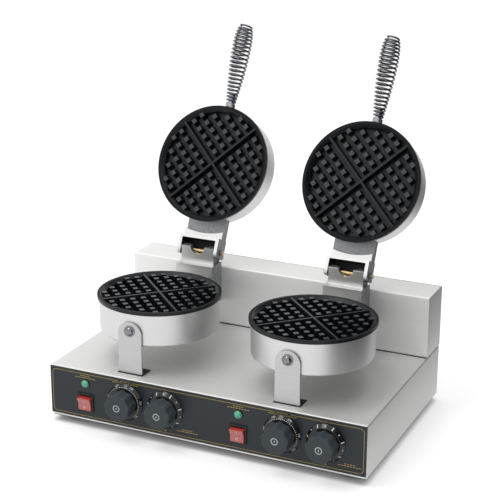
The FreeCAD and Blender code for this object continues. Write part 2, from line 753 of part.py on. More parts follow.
def front_bracket(head_x):
    """Strap with a round top, through the slot in the cabinet's top to a flange below it."""
    y0 = STRAP_Y - STRAP_THICKNESS
    half = STRAP_WIDTH / 2
    under = BASE_TOP - SHEET
    low = under - STRAP_THICKNESS
    crown = BOLT_Z + STRAP_ABOVE_BOLT - half
    web = block(head_x - half, head_x + half, y0, STRAP_Y, low, crown)
    top = bar(half, V(head_x, y0, crown), V(head_x, STRAP_Y, crown))
    flange = block(head_x - half, head_x + half, y0, STRAP_Y + STRAP_FLANGE, low, under)
    strap = joined([web, top, flange])
    hole = BOLT_RADIUS + BOLT_CLEARANCE
    return strap.cut(bar(hole, V(head_x, y0 - OVERCUT, BOLT_Z), V(head_x, STRAP_Y + OVERCUT, BOLT_Z)))


def bracket_bolt(head_x):
    """Domed bolt with its washer face on the strap, and its nut inside the case."""
    seat = V(head_x, STRAP_Y - STRAP_THICKNESS, BOLT_Z)
    washer_end = seat - Y_AXIS * WASHER_THICKNESS
    dome_sphere = (DOME_RADIUS ** 2 + DOME_HEIGHT ** 2) / (2 * DOME_HEIGHT)
    ball = Part.makeSphere(dome_sphere, washer_end + Y_AXIS * (dome_sphere - DOME_HEIGHT))
    dome_end = washer_end - Y_AXIS * (DOME_HEIGHT + OVERCUT)
    dome = ball.common(bar(DOME_RADIUS + OVERCUT, washer_end, dome_end))
    inner = CASE_RADIUS - CASE_WALL
    corner = NUT_FLATS / math.sqrt(3)
    nut_y = HEAD_Y - math.sqrt(inner ** 2 - corner ** 2) + SEAT_GAP
    nut_start = V(head_x, nut_y, BOLT_Z)
    nut_end = nut_start + Y_AXIS * NUT_HEIGHT
    shank = bar(BOLT_RADIUS, washer_end, nut_end + Y_AXIS * BOLT_RADIUS / 2)
    bolt = joined([bar(WASHER_RADIUS, seat, washer_end), dome, shank])
    bore = bar(BOLT_RADIUS + PIN_CLEARANCE, nut_start - Y_AXIS * OVERCUT, nut_end + Y_AXIS * OVERCUT)
    return [bolt, hexagon(NUT_FLATS, nut_start, nut_end).cut(bore)]


# Hinge

def pin_bore(head_x, half):
    """Bore for the pin through a casting that reaches half to either side."""
    end = X_AXIS * (half + OVERCUT)
    middle = V(head_x, PIN_Y, PIN_Z)
    return bar(PIN_RADIUS + PIN_CLEARANCE, middle - end, middle + end)


def stop_rib(head_x):
    """Sloped rib that the open fork's heel comes down on."""
    top_back = -HEEL_DROP - STOP_GAP / math.cos(LEAN)
    top_front = top_back + STOP_DEPTH * math.tan(LEAN)
    root = -LEDGE_DROP - STOP_GAP
    outline = [(HEEL_BACK - STOP_DEPTH, root), (HEEL_BACK, root),
               (HEEL_BACK, top_back), (HEEL_BACK - STOP_DEPTH, top_front)]
    half = UPSTAND_WIDTH / 2
    return prism([(PIN_Y + y, PIN_Z + z) for y, z in outline], head_x - half, head_x + half)


def hinge_base(head_x):
    """Casting on the rear housing: block with a ledge, neck to the case, notched upstand with two ears."""
    half = BLOCK_WIDTH / 2
    wall_front = PIN_Y - UPSTAND_FRONT
    block_front = wall_front - BLOCK_LEDGE
    foot = CASE_BOTTOM - BLOCK_BELOW_CASE
    body = block(head_x - half, head_x + half, block_front, REAR_Y, foot, LEDGE_Z)
    neck = block(head_x - NECK_WIDTH / 2, head_x + NECK_WIDTH / 2, HEAD_Y, block_front + BLOCK_LEDGE,
                 CASE_BOTTOM + NECK_INSET, CASE_TOP - NECK_INSET)
    neck = neck.cut(Part.makeCylinder(CASE_RADIUS + SEAT_GAP, CASE_HEIGHT, V(head_x, HEAD_Y, CASE_BOTTOM)))
    half = UPSTAND_WIDTH / 2
    top = PIN_Z + UPSTAND_RISE
    root = LEDGE_Z - OVERCUT
    pieces = [body, neck, stop_rib(head_x)]
    pieces.append(block(head_x - half, head_x + half, wall_front, wall_front + UPSTAND_WALL, root, top))
    for _, side in SIDES:
        outer = head_x + side * half
        inner = outer - side * EAR_WIDTH
        x0 = min(outer, inner)
        x1 = max(outer, inner)
        pieces.append(block(x0, x1, wall_front, PIN_Y, root, top))
        pieces.append(block(x0, x1, wall_front, PIN_Y + EAR_BACK, root, PIN_Z))
        pieces.append(bar(UPSTAND_RISE, V(x0, PIN_Y, PIN_Z), V(x1, PIN_Y, PIN_Z)))
    casting = joined(pieces)
    notch_end = wall_front + UPSTAND_WALL + OVERCUT
    notch = bar(NOTCH_RADIUS, V(head_x, wall_front - OVERCUT, top), V(head_x, notch_end, top))
    cuts = [pin_bore(head_x, half), notch]
    hole = HINGE_SCREW_RADIUS + SCREW_CLEARANCE
    for x, z in hinge_screw_places(head_x):
        cuts.append(bar(hole, V(x, REAR_Y - HINGE_SCREW_LENGTH - OVERCUT, z), V(x, REAR_Y + OVERCUT, z)))
    return casting.cut(cuts)


def hinge_base_screws(head_x):
    screws = []
    for x, z in hinge_screw_places(head_x):
        seat = V(x, REAR_Y + SHEET, z)
        head = hexagon(HINGE_SCREW_FLATS, seat, seat + Y_AXIS * HINGE_SCREW_HEAD)
        shank = bar(HINGE_SCREW_RADIUS, seat + Y_AXIS * OVERCUT, V(x, REAR_Y - HINGE_SCREW_LENGTH, z))
        screws.append(joined([head, shank]))
    return screws


def bridge_level():
    """Middle of the bridge where it meets the lid case, above the pin when closed."""
    return (FORK_BACK + RECESS_DEPTH - BRIDGE_FRONT) / 2


def arm_screw_places(head_x):
    return [head_x + side * ARM_SCREW_SPREAD / 2 for _, side in SIDES]


def hinge_arm(head_x):
    """Casting on the lid, drawn closed: a fork round the upstand, and a bridge with a saddle for the case."""
    heel = PIN_Y + FORK_HEEL
    front = PIN_Y - FORK_TOP
    low = PIN_Z - FORK_FRONT
    high = PIN_Z + FORK_BACK
    half = FORK_WIDTH / 2 + CHEEK
    fork = block(head_x - half, head_x + half, front, heel, low, high)
    corner = block(head_x - half, head_x + half, PIN_Y, heel + OVERCUT, low - OVERCUT, PIN_Z)
    round_heel = bar(FORK_FRONT, V(head_x - half, PIN_Y, PIN_Z), V(head_x + half, PIN_Y, PIN_Z))
    fork = fork.cut(corner.cut(round_heel))
    half = BRIDGE_WIDTH / 2
    bridge = block(head_x - half, head_x + half, HEAD_Y, front + OVERCUT, PIN_Z - BRIDGE_FRONT, high)
    arm = joined([fork, bridge])
    half = FORK_WIDTH / 2
    window = PIN_Y - WINDOW_TOP
    pocket_back = PIN_Z + FORK_POCKET
    pocket = block(head_x - half, head_x + half, window, heel + OVERCUT, low - OVERCUT, pocket_back)
    recess_low = PIN_Z - BRIDGE_FRONT - OVERCUT
    recess = Part.makeCylinder(RECESS_RADIUS, RECESS_DEPTH + OVERCUT, V(head_x, HEAD_Y, recess_low))
    saddle = Part.makeCylinder(CASE_RADIUS + SEAT_GAP, 2 * LID_DEPTH, V(head_x, HEAD_Y, PARTING))
    cuts = [pocket, recess, saddle, pin_bore(head_x, half + CHEEK)]
    hole = ARM_SCREW_RADIUS + SCREW_CLEARANCE
    z = PIN_Z + bridge_level()
    for x in arm_screw_places(head_x):
        cuts.append(bar(hole, V(x, HEAD_Y, z), V(x, HEAD_Y + CASE_RADIUS + ARM_SCREW_LENGTH, z)))
    return opened(arm.cut(cuts))


def arm_screws(head_x):
    """Screws from inside the lid case into the arm's bridge."""
    inner = CASE_RADIUS - CASE_WALL
    side = ARM_SCREW_SPREAD / 2 + ARM_SCREW_HEAD
    seat_y = HEAD_Y + math.sqrt(inner ** 2 - side ** 2) - SEAT_GAP
    end_y = HEAD_Y + CASE_RADIUS + ARM_SCREW_LENGTH - OVERCUT
    z = PIN_Z + bridge_level()
    screws = []
    for x in arm_screw_places(head_x):
        head = bar(ARM_SCREW_HEAD, V(x, seat_y - ARM_SCREW_HEAD_HEIGHT, z), V(x, seat_y, z))
        shank = bar(ARM_SCREW_RADIUS, V(x, seat_y - OVERCUT, z), V(x, end_y, z))
        screws.append(opened(joined([head, shank])))
    return screws


def pin_half_length():
    return FORK_WIDTH / 2 + CHEEK + PIN_NUT_HEIGHT + PIN_END


def hinge_pin(head_x):
    half = pin_half_length()
    return bar(PIN_RADIUS, V(head_x - half, PIN_Y, PIN_Z), V(head_x + half, PIN_Y, PIN_Z))


def hinge_nuts(head_x):
    nuts = []
    for _, side in SIDES:
        seat = V(head_x + side * (FORK_WIDTH / 2 + CHEEK), PIN_Y, PIN_Z)
        end = seat + X_AXIS * side * PIN_NUT_HEIGHT
        nuts.append(opened(hexagon(PIN_NUT_FLATS, seat, end).cut(pin_bore(head_x, pin_half_length()))))
    return nuts


# Lid case and handle, drawn closed with the handle to the front

def handle_z():
    return PARTING + RIM_GAP + HANDLE_RISE


def lid_case(head_x):
    """Upper cup with a welded boss for the handle's stud, and holes for the arm's screws."""
    case = closed_lid(cup(LID_DEPTH), head_x)
    front = HEAD_Y - CASE_RADIUS
    z = handle_z()
    inside = front + CASE_WALL + STUD_BOSS_LENGTH
    boss = bar(STUD_BOSS_RADIUS, V(head_x, front, z), V(head_x, inside, z))
    boss = boss.common(Part.makeCylinder(CASE_RADIUS - CASE_WALL / 2, LID_DEPTH, V(head_x, HEAD_Y, PARTING)))
    cuts = [bar(STUD_RADIUS + PIN_CLEARANCE, V(head_x, front - OVERCUT, z), V(head_x, inside + OVERCUT, z))]
    hole = ARM_SCREW_RADIUS + SCREW_CLEARANCE
    screw_z = PIN_Z + bridge_level()
    for x in arm_screw_places(head_x):
        outside = HEAD_Y + CASE_RADIUS + OVERCUT
        cuts.append(bar(hole, V(x, HEAD_Y + CASE_RADIUS / 2, screw_z), V(x, outside, screw_z)))
    return opened(joined([case, boss]).cut(cuts))


def handle_stud(head_x):
    """Collar against the case, a stud into its boss and a core that the coil's first turns sit on."""
    front = HEAD_Y - CASE_RADIUS
    z = handle_z()
    collar_end = front - COLLAR_LENGTH
    core_radius = COIL_BASE_RADIUS - 2 * COIL_WIRE - COIL_CORE_GAP
    seat = V(head_x, front - SEAT_GAP, z)
    collar = bar(COLLAR_RADIUS, seat, V(head_x, collar_end + COIL_CORE_GAP, z))
    stud = bar(STUD_RADIUS, seat - Y_AXIS * OVERCUT, V(head_x, front + CASE_WALL + STUD_BOSS_LENGTH, z))
    core = bar(core_radius, seat, V(head_x, collar_end - COIL_CORE_LENGTH, z))
    stud_piece = joined([collar, stud, core])
    middle = (front + collar_end) / 2
    grub_end = z - COLLAR_RADIUS + GRUB_DEPTH
    grub = bar(GRUB_RADIUS, V(head_x, middle, z - COLLAR_RADIUS - OVERCUT), V(head_x, middle, grub_end))
    return opened(stud_piece.cut(grub))


def handle_coil(head_x):
    """Conical spring grip: half turns of wire, each in its own slanting plane, tangent end to end."""
    start = HEAD_Y - COIL_OUT
    z = handle_z()
    points = []
    for k in range(COIL_HALVES + 1):
        side = 1 if k % 2 else -1
        place = coil_place(k / COIL_HALVES)
        points.append(V(head_x + side * coil_radius(place), start - COIL_RISE * place, z))
    pieces = []
    for k in range(COIL_HALVES):
        chord = points[k + 1] - points[k]
        middle = (points[k] + points[k + 1]) / 2
        section = Part.Face(Part.Wire(Part.makeCircle(COIL_WIRE, points[k], Z_AXIS)))
        turn_axis = chord.cross(Z_AXIS) if k % 2 else Z_AXIS.cross(chord)
        pieces.append(section.revolve(middle, turn_axis, 180))
    return opened(joined(pieces))


# Controls

def switch_half_size():
    half_width = ROCKER_WIDTH / 2 + ROCKER_SIDE_GAP + SWITCH_WALL
    return half_width, rocker_reach() + SWITCH_WALL


def rocker_reach():
    """Half the height of the opening that the rocker needs as it tips."""
    tilt = math.radians(ROCKER_TILT)
    return ROCKER_HEIGHT / 2 * math.cos(tilt) + ROCKER_END_PROUD * math.sin(tilt) + ROCKER_SIDE_GAP


def rotary_control(x, size, depth):
    """Thermostat or timer behind the front wall: case, bushing and a chamber for the spindle's collar."""
    z = BASE_BOTTOM + KNOB_HEIGHT
    half = size / 2
    case = block(x - half, x + half, WALL_Y, WALL_Y + depth, z - half, z + half)
    bushing = bar(BUSHING_RADIUS, V(x, PANEL_Y - BUSHING_PROUD, z), V(x, WALL_Y + OVERCUT, z))
    chamber_radius = SPINDLE_COLLAR_RADIUS + SPINDLE_CHAMBER_GAP
    chamber_start = WALL_Y + SPINDLE_COLLAR_LENGTH
    chamber_end = chamber_start + SPINDLE_COLLAR_LENGTH + 2 * SPINDLE_CHAMBER_GAP
    chamber = bar(chamber_radius, V(x, chamber_start, z), V(x, chamber_end, z))
    bore = bar(SPINDLE_RADIUS + SPINDLE_CLEARANCE, V(x, PANEL_Y - BUSHING_PROUD - OVERCUT, z),
               V(x, chamber_end + SPINDLE_TAIL + SPINDLE_CHAMBER_GAP, z))
    return joined([case, bushing]).cut([chamber, bore])


def spindle(x):
    """Round spindle with a collar inside the control, out to the knob's socket."""
    z = BASE_BOTTOM + KNOB_HEIGHT
    collar_start = WALL_Y + SPINDLE_COLLAR_LENGTH + SPINDLE_CHAMBER_GAP
    collar_end = collar_start + SPINDLE_COLLAR_LENGTH
    tip = KNOB_Y - KNOB_RECESS_DEPTH - KNOB_SOCKET
    rod = bar(SPINDLE_RADIUS, V(x, tip, z), V(x, collar_end + SPINDLE_TAIL, z))
    return joined([rod, bar(SPINDLE_COLLAR_RADIUS, V(x, collar_start, z), V(x, collar_end, z))])


def knob(x):
    """Dial skirt with a bevelled face, and a lobed grip; hollow behind, with a socket for the spindle."""
    z = BASE_BOTTOM + KNOB_HEIGHT
    skirt_face = KNOB_Y - SKIRT_DEPTH
    front = skirt_face - GRIP_DEPTH
    skirt = Part.makeCone(SKIRT_RADIUS, SKIRT_FACE_RADIUS, SKIRT_DEPTH, V(x, KNOB_Y, z), -Y_AXIS)
    grip = bar(GRIP_RADIUS, V(x, skirt_face, z), V(x, front, z))
    reach = GRIP_RADIUS + GRIP_SCALLOP_RADIUS - GRIP_SCALLOP_BITE
    scallops = []
    for k in range(GRIP_LOBES):
        angle = 2 * math.pi * (k + 0.5) / GRIP_LOBES
        sx = x + reach * math.sin(angle)
        sz = z + reach * math.cos(angle)
        scallops.append(bar(GRIP_SCALLOP_RADIUS, V(sx, skirt_face, sz), V(sx, front - OVERCUT, sz)))
    grip = grip.cut(scallops)
    cap = min(grip.Faces, key=lambda f: f.CenterOfMass.y)
    grip = grip.makeChamfer(GRIP_CHAMFER, cap.Edges)
    recess_end = KNOB_Y - KNOB_RECESS_DEPTH
    recess = bar(KNOB_RECESS_RADIUS, V(x, KNOB_Y + OVERCUT, z), V(x, recess_end, z))
    socket_end = recess_end - KNOB_SOCKET - SEAT_GAP
    socket = bar(SPINDLE_RADIUS + SPINDLE_CLEARANCE, V(x, KNOB_Y, z), V(x, socket_end, z))
    return joined([skirt, grip]).cut([recess, socket])


def pilot_lamp(head_x):
    """Snap-in lamp: domed lens and flange before the panel, barrel behind it."""
    x = head_x + LAMP_OFFSET
    z = BASE_BOTTOM + LAMP_HEIGHT
    panel = V(x, PANEL_Y, z)
    flange_end = panel - Y_AXIS * LAMP_FLANGE_THICKNESS
    dome_sphere = (LAMP_LENS_RADIUS ** 2 + LAMP_LENS_PROUD ** 2) / (2 * LAMP_LENS_PROUD)
    ball = Part.makeSphere(dome_sphere, flange_end + Y_AXIS * (dome_sphere - LAMP_LENS_PROUD))
    lens_end = flange_end - Y_AXIS * (LAMP_LENS_PROUD + OVERCUT)
    lens = ball.common(bar(LAMP_LENS_RADIUS + OVERCUT, flange_end, lens_end))
    barrel = bar(LAMP_BODY_RADIUS, flange_end, panel + Y_AXIS * LAMP_BODY_LENGTH)
    return joined([bar(LAMP_FLANGE_RADIUS, panel, flange_end), lens, barrel])


def rocker_pivot():
    return PANEL_Y - BEZEL_THICKNESS + ROCKER_PIVOT_DEPTH


def switch_body(head_x):
    """Frame on the panel and a box behind it, open to the front for the rocker."""
    x = head_x + SWITCH_OFFSET
    z = BASE_BOTTOM + SWITCH_HEIGHT
    front = PANEL_Y - BEZEL_THICKNESS
    half_width, half_height = switch_half_size()
    frame_width = half_width + BEZEL_LIP
    frame_height = half_height + BEZEL_LIP
    frame = block(x - frame_width, x + frame_width, front, PANEL_Y, z - frame_height, z + frame_height)
    back = PANEL_Y + SWITCH_DEPTH
    box = block(x - half_width, x + half_width, front, back, z - half_height, z + half_height)
    inner_width = half_width - SWITCH_WALL
    inner_height = half_height - SWITCH_WALL
    cavity = block(x - inner_width, x + inner_width, front - OVERCUT, front + SWITCH_CAVITY_DEPTH,
                   z - inner_height, z + inner_height)
    pivot = rocker_pivot()
    holes = bar(TRUNNION_RADIUS + PIN_CLEARANCE, V(x - half_width, pivot, z), V(x + half_width, pivot, z))
    return joined([frame, box]).cut([cavity, holes])


def rocker(head_x):
    """Red rocker with a waisted face, tipped with its top edge out, on two trunnions."""
    x = head_x + SWITCH_OFFSET
    z = BASE_BOTTOM + SWITCH_HEIGHT
    pivot = rocker_pivot()
    half_width = ROCKER_WIDTH / 2
    half_height = ROCKER_HEIGHT / 2
    keel = ROCKER_KEEL / 2
    outline = [(-ROCKER_END_PROUD, half_height), (-ROCKER_WAIST_PROUD, 0), (-ROCKER_END_PROUD, -half_height),
               (0, -half_height), (ROCKER_BACK, -keel), (ROCKER_BACK, keel), (0, half_height)]
    body = prism([(pivot + y, z + up) for y, up in outline], x - half_width, x + half_width)
    trunnion = half_width + TRUNNION_LENGTH
    pins = bar(TRUNNION_RADIUS, V(x - trunnion, pivot, z), V(x + trunnion, pivot, z))
    whole = joined([body, pins])
    whole.rotate(V(x, pivot, z), X_AXIS, ROCKER_TILT)
    return whole


def head_pieces(head_x, shared):
    """Every piece of one head and its controls, by name."""
    thermostat_x = head_x + THERMOSTAT_OFFSET
    timer_x = head_x + TIMER_OFFSET
    return {
        "lower_case": [lower_case(head_x)],
        "lower_plate": [lower(shared["plate"], head_x)],
        "lower_heater": [lower(shared["heater"], head_x)],
        "lower_clamp": [lower(shared["clamp"], head_x)],
        "front_bracket": [front_bracket(head_x)],
        "hinge_base": [hinge_base(head_x)],
        "lid_case": [lid_case(head_x)],
        "lid_plate": [lid(shared["plate"], head_x)],
        "lid_heater": [lid(shared["heater"], head_x)],
        "lid_clamp": [lid(shared["clamp"], head_x)],
        "hinge_arm": [hinge_arm(head_x)],
        "arm_screws": arm_screws(head_x),
        "hinge_pin": [hinge_pin(head_x)],
        "hinge_nuts": hinge_nuts(head_x),
        "handle_stud": [handle_stud(head_x)],
        "handle_coil": [handle_coil(head_x)],
        "thermostat": [rotary_control(thermostat_x, THERMOSTAT_SIZE, THERMOSTAT_DEPTH)],
        "thermostat_spindle": [spindle(thermostat_x)],
        "thermostat_knob": [knob(thermostat_x)],
        "timer": [rotary_control(timer_x, TIMER_SIZE, TIMER_DEPTH)],
        "timer_spindle": [spindle(timer_x)],
        "timer_knob": [knob(timer_x)],
        "pilot_lamp": [pilot_lamp(head_x)],
        "switch_body": [switch_body(head_x)],
        "rocker": [rocker(head_x)],
    }


def main():
    os.makedirs("parts", exist_ok=True)
    save("base_cover", [base_cover()])
    save("base_floor", [base_floor()])
    save("feet", feet())
    save("control_panel", [control_panel()])
    save("rear_housing", [rear_housing()])
    save("rear_cover", [rear_cover()])
    save("cover_screws", cover_screws())
    save("cable_gland", [cable_gland()])
    shared = {"plate": plate(), "heater": heater(), "clamp": clamp()}
    bolts = []
    screws = []
    for name, side in SIDES:
        head_x = side * HEAD_PITCH / 2
        for piece, shapes in head_pieces(head_x, shared).items():
            save(name + "_" + piece, shapes)
        bolts += bracket_bolt(head_x)
        screws += hinge_base_screws(head_x)
    save("bracket_bolts", bolts)
    save("hinge_base_screws", screws)
    print("pin y, z:", PIN_Y, PIN_Z)
    print("knob height:", BASE_BOTTOM + KNOB_HEIGHT)
    print("rocker pivot y, z:", rocker_pivot(), BASE_BOTTOM + SWITCH_HEIGHT)
    print("front, back, head y:", FRONT_Y, BACK_Y, HEAD_Y)


main()
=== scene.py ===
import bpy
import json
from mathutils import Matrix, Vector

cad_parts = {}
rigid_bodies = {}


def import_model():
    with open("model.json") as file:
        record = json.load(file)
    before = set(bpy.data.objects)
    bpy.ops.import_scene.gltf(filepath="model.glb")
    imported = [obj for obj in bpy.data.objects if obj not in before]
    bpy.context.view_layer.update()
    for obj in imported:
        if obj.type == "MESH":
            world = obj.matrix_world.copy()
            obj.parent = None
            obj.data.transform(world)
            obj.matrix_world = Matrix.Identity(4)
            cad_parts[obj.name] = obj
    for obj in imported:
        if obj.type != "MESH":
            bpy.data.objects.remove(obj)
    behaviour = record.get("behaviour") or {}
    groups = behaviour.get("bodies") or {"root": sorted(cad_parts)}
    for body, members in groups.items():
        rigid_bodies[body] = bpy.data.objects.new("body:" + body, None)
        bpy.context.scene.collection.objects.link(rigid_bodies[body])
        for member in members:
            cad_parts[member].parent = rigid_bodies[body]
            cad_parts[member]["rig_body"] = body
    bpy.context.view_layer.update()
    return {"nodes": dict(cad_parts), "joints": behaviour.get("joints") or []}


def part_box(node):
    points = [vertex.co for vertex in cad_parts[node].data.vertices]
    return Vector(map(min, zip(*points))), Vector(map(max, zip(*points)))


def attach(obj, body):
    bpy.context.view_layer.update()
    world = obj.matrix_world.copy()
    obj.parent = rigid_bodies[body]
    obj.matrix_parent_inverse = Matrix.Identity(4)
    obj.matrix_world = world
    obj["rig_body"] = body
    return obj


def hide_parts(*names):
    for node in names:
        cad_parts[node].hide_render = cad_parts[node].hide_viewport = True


bl_info = {
    "name": "Twin Waffle Baker",
    "version": (1, 0, 0),
    "blender": (4, 5, 0),
    "location": "View3D > Sidebar > Waffle Baker",
    "description": "Finishes and fine detail of a counter-top waffle baker with two round heads",
    "category": "Object",
}

import json
import math

import bmesh
import bpy
from mathutils import Matrix, Vector

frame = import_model()

MM = 0.001
SIDES = ("left", "right")
JOINTS = {joint["name"]: joint for joint in frame["joints"]}
QUARTER_TURN = math.pi / 2
FULL_TURN = 2 * math.pi

# Triangles of a copied node are joined below the first angle, and edges above the second stay sharp
FLAT_ANGLE = math.radians(0.4)
SHARP_ANGLE = math.radians(32)
MERGE_DISTANCE = 0.002 * MM
# Levels that lie closer than this are one level
TOLERANCE = 0.1 * MM
# How far a face's normal reaches along an axis that the face looks along, straight or mostly
STRAIGHT = 0.9
MOSTLY = 0.7


# Colours and shader nodes

WHITE = (1, 1, 1, 1)
METAL = 1.0
PLAIN = 0.0
# Stretch of the noise that is spread over a pattern's two ends
NOISE_LOW = 0.3
NOISE_HIGH = 0.7
NOISE_ROUGHNESS = 0.55
# Sockets of a Mix node: its two numbers, its two colours and the mixed colour
NUMBER_A, NUMBER_B = 2, 3
COLOUR_A, COLOUR_B = 6, 7
MIXED_COLOUR = 2


def linear(code):
    """Turns an sRGB hex code to the linear opaque colour that shaders take."""
    shares = [int(code[k:k + 2], 16) / 255 for k in (1, 3, 5)]
    return [*(s / 12.92 if s <= 0.04045 else ((s + 0.055) / 1.055) ** 2.4 for s in shares), 1]


def add_node(tree, kind, links=None, values=None, **settings):
    """Adds a node with its settings, fixed inputs and links."""
    node = tree.nodes.new(kind)
    for name, value in settings.items():
        setattr(node, name, value)
    for name, value in (values or {}).items():
        node.inputs[name].default_value = value
    for name, socket in (links or {}).items():
        tree.links.new(socket, node.inputs[name])
    return node


def new_material(colour, metallic, roughness, sockets=None):
    """A material with its constant values on the shader's own sockets."""
    material = bpy.data.materials.new("finish")
    material.use_nodes = True
    shader = material.node_tree.nodes["Principled BSDF"]
    shader.inputs["Base Color"].default_value = linear(colour)
    shader.inputs["Metallic"].default_value = metallic
    shader.inputs["Roughness"].default_value = roughness
    for socket, value in (sockets or {}).items():
        shader.inputs[socket].default_value = value
    return material, material.node_tree, shader


def grain(tree, size, detail=3, stretch=(1, 1, 1)):
    """Noise whose blobs are about size metres across, longer along the axes with a stretch above 1."""
    place = add_node(tree, "ShaderNodeTexCoord").outputs["Object"]
    scale = [1 / (size * s) for s in stretch]
    spot = add_node(tree, "ShaderNodeMapping", {"Vector": place}, {"Scale": scale})
    noise = add_node(tree, "ShaderNodeTexNoise", {"Vector": spot.outputs["Vector"]},
                     {"Scale": 1, "Detail": detail, "Roughness": NOISE_ROUGHNESS})
    return noise.outputs["Fac"]


def brushed(tree, width, length):
    """Grain drawn out along the sheet: along X on faces that look forward or up, along Y on end faces."""
    across = grain(tree, width, stretch=(length / width, 1, 1))
    endwise = grain(tree, width, stretch=(1, length / width, 1))
    normal = add_node(tree, "ShaderNodeNewGeometry").outputs["Normal"]
    split = add_node(tree, "ShaderNodeSeparateXYZ", {"Vector": normal})
    end_face = add_node(tree, "ShaderNodeMath", {0: split.outputs["X"]}, operation="ABSOLUTE")
    links = {"Factor": end_face.outputs[0], NUMBER_A: across, NUMBER_B: endwise}
    return add_node(tree, "ShaderNodeMix", links).outputs[0]


def surface(tones, metallic, rough, pattern, depth=0.0, specular=0.5, sockets=None):
    """A material whose pattern mixes two tones, varies the roughness and raises it by depth metres."""
    constants = {"Specular IOR Level": specular, **(sockets or {})}
    material, tree, shader = new_material(tones[0], metallic, rough[0], constants)
    make_field, *sizes = pattern
    field = make_field(tree, *sizes)
    limits = {"From Min": NOISE_LOW, "From Max": NOISE_HIGH}
    spread = add_node(tree, "ShaderNodeMapRange", {"Value": field},
                      {**limits, "To Min": rough[0], "To Max": rough[1]})
    tree.links.new(spread.outputs["Result"], shader.inputs["Roughness"])
    share = add_node(tree, "ShaderNodeMapRange", {"Value": field}, limits)
    mix = add_node(tree, "ShaderNodeMix", {"Factor": share.outputs["Result"]},
                   {COLOUR_A: linear(tones[0]), COLOUR_B: linear(tones[1])}, data_type="RGBA")
    tree.links.new(mix.outputs[MIXED_COLOUR], shader.inputs["Base Color"])
    if depth:
        relief = add_node(tree, "ShaderNodeBump", {"Height": field}, {"Distance": depth, "Strength": 1})
        tree.links.new(relief.outputs["Normal"], shader.inputs["Normal"])
    return material


def seen_ray(tree):
    """1 for a ray from the camera, a reflection or a clear material, 0 for light that falls."""
    path = add_node(tree, "ShaderNodeLightPath")
    seen = path.outputs["Is Camera Ray"]
    for kind in ("Is Glossy Ray", "Is Transmission Ray"):
        larger = add_node(tree, "ShaderNodeMath", {0: seen, 1: path.outputs[kind]}, operation="MAXIMUM")
        seen = larger.outputs[0]
    return seen


# Materials, each named for what the real one is

MAKERS = {}


def maker(make):
    """Lists a function as the one that makes the material of its own name."""
    MAKERS[make.__name__] = make
    return make


def finish(name):
    """The named material, made when it is first asked for."""
    material = bpy.data.materials.get(name)
    if material is None:
        material = MAKERS[name]()
        material.name = name
    return material


# Real polishing lines are about 0.1 mm wide, too fine to show, so they are drawn about 1 mm wide
BELT_LINES = (brushed, 1.0 * MM, 70 * MM)
MILL_LINES = (brushed, 0.8 * MM, 40 * MM)


@maker
def satin_stainless():
    """Stainless sheet polished on a belt: soft stretched reflections with faint lines along the sheet."""
    return surface(("#DFDFDE", "#E5E5E4"), METAL, (0.61, 0.71), BELT_LINES, 0.006 * MM)


@maker
def housing_stainless():
    """Stainless of the rear housing: a paler copy of the cabinet's belt finish, painted light that brightens
    the housing.
    """
    return surface(("#ECECEB", "#F2F2F1"), METAL, (0.61, 0.71), BELT_LINES, 0.006 * MM)


@maker
def drawn_stainless():
    """Stainless of the pressed cases: greyer than the cabinet's, which is painted shade, with tighter
    reflections.
    """
    return surface(("#CFCFCF", "#D9D9D9"), METAL, (0.38, 0.46), MILL_LINES, 0.004 * MM)


@maker
def strap_stainless():
    """Stainless strip of the brackets in a duller grey copy: painted shade that dims their reflections."""
    return surface(("#BABABA", "#C6C6C6"), METAL, (0.42, 0.5), MILL_LINES, 0.004 * MM)


@maker
def underside_painted_shade():
    """Sheet under the cabinet in a dull dark grey: painted shade, so that the gap under the part stays dark.
    """
    return surface(("#434547", "#585A5C"), 0.6, (0.62, 0.78), (grain, 9.0 * MM, 2))


@maker
def cast_aluminium():
    """Sand-cast aluminium, tumbled: bright and grainy, with a matt skin."""
    # Sand grains of about 0.3 mm, drawn 2.8 mm across to show
    return surface(("#8C8E92", "#E0E0E0"), METAL, (0.62, 0.8), (grain, 2.8 * MM, 6), 0.2 * MM)


@maker
def cast_painted_shade():
    """Darker, duller, blotched copy of the cast finish on the castings' sides and the arm's neck: painted
    shade.
    """
    return surface(("#88898D", "#BDBFC1"), METAL, (0.5, 0.68), (grain, 2.2 * MM, 5), 0.12 * MM)


@maker
def hinge_pocket_painted_shade():
    """Near-black grainy finish inside the hinge's fork: painted shade of the pocket."""
    return surface(("#1B1C1D", "#303235"), 0.6, (0.5, 0.7), (grain, 1.4 * MM, 4), 0.12 * MM)


@maker
def nonstick_coating():
    """Sprayed non-stick coat over cast aluminium: near black, satin, with the casting's fine pimples."""
    # The spray's orange peel is about 0.5 mm, drawn 0.8 mm across
    return surface(("#06080C", "#0D1116"), PLAIN, (0.34, 0.46), (grain, 0.8 * MM), 0.03 * MM,
                   specular=0.36)


@maker
def nonstick_painted_highlight():
    """The same coat on the tops of the posts, greyer and smoother: painted highlight where the tops catch
    light.
    """
    return surface(("#1C2025", "#2E333A"), PLAIN, (0.26, 0.4), (grain, 1.6 * MM), 0.02 * MM,
                   specular=0.55)


@maker
def nonstick_rim_painted_shade():
    """The same coat on the rim, deep black and matt: painted shade."""
    return surface(("#06080A", "#0C0E11"), PLAIN, (0.5, 0.62), (grain, 0.8 * MM), 0.03 * MM,
                   specular=0.2)


@maker
def nonstick_edge_painted_highlight():
    """The same coat in a lighter grey on the rounded edges: painted highlight that draws them as light
    lines.
    """
    return surface(("#42474D", "#5E646B"), PLAIN, (0.24, 0.36), (grain, 1.6 * MM), specular=0.55)


@maker
def panel_lacquer():
    """Baked black lacquer on sheet: charcoal, soft sheen, fine orange peel."""
    return surface(("#1A2126", "#21282D"), PLAIN, (0.32, 0.42), (grain, 0.7 * MM), 0.008 * MM,
                   specular=0.4)


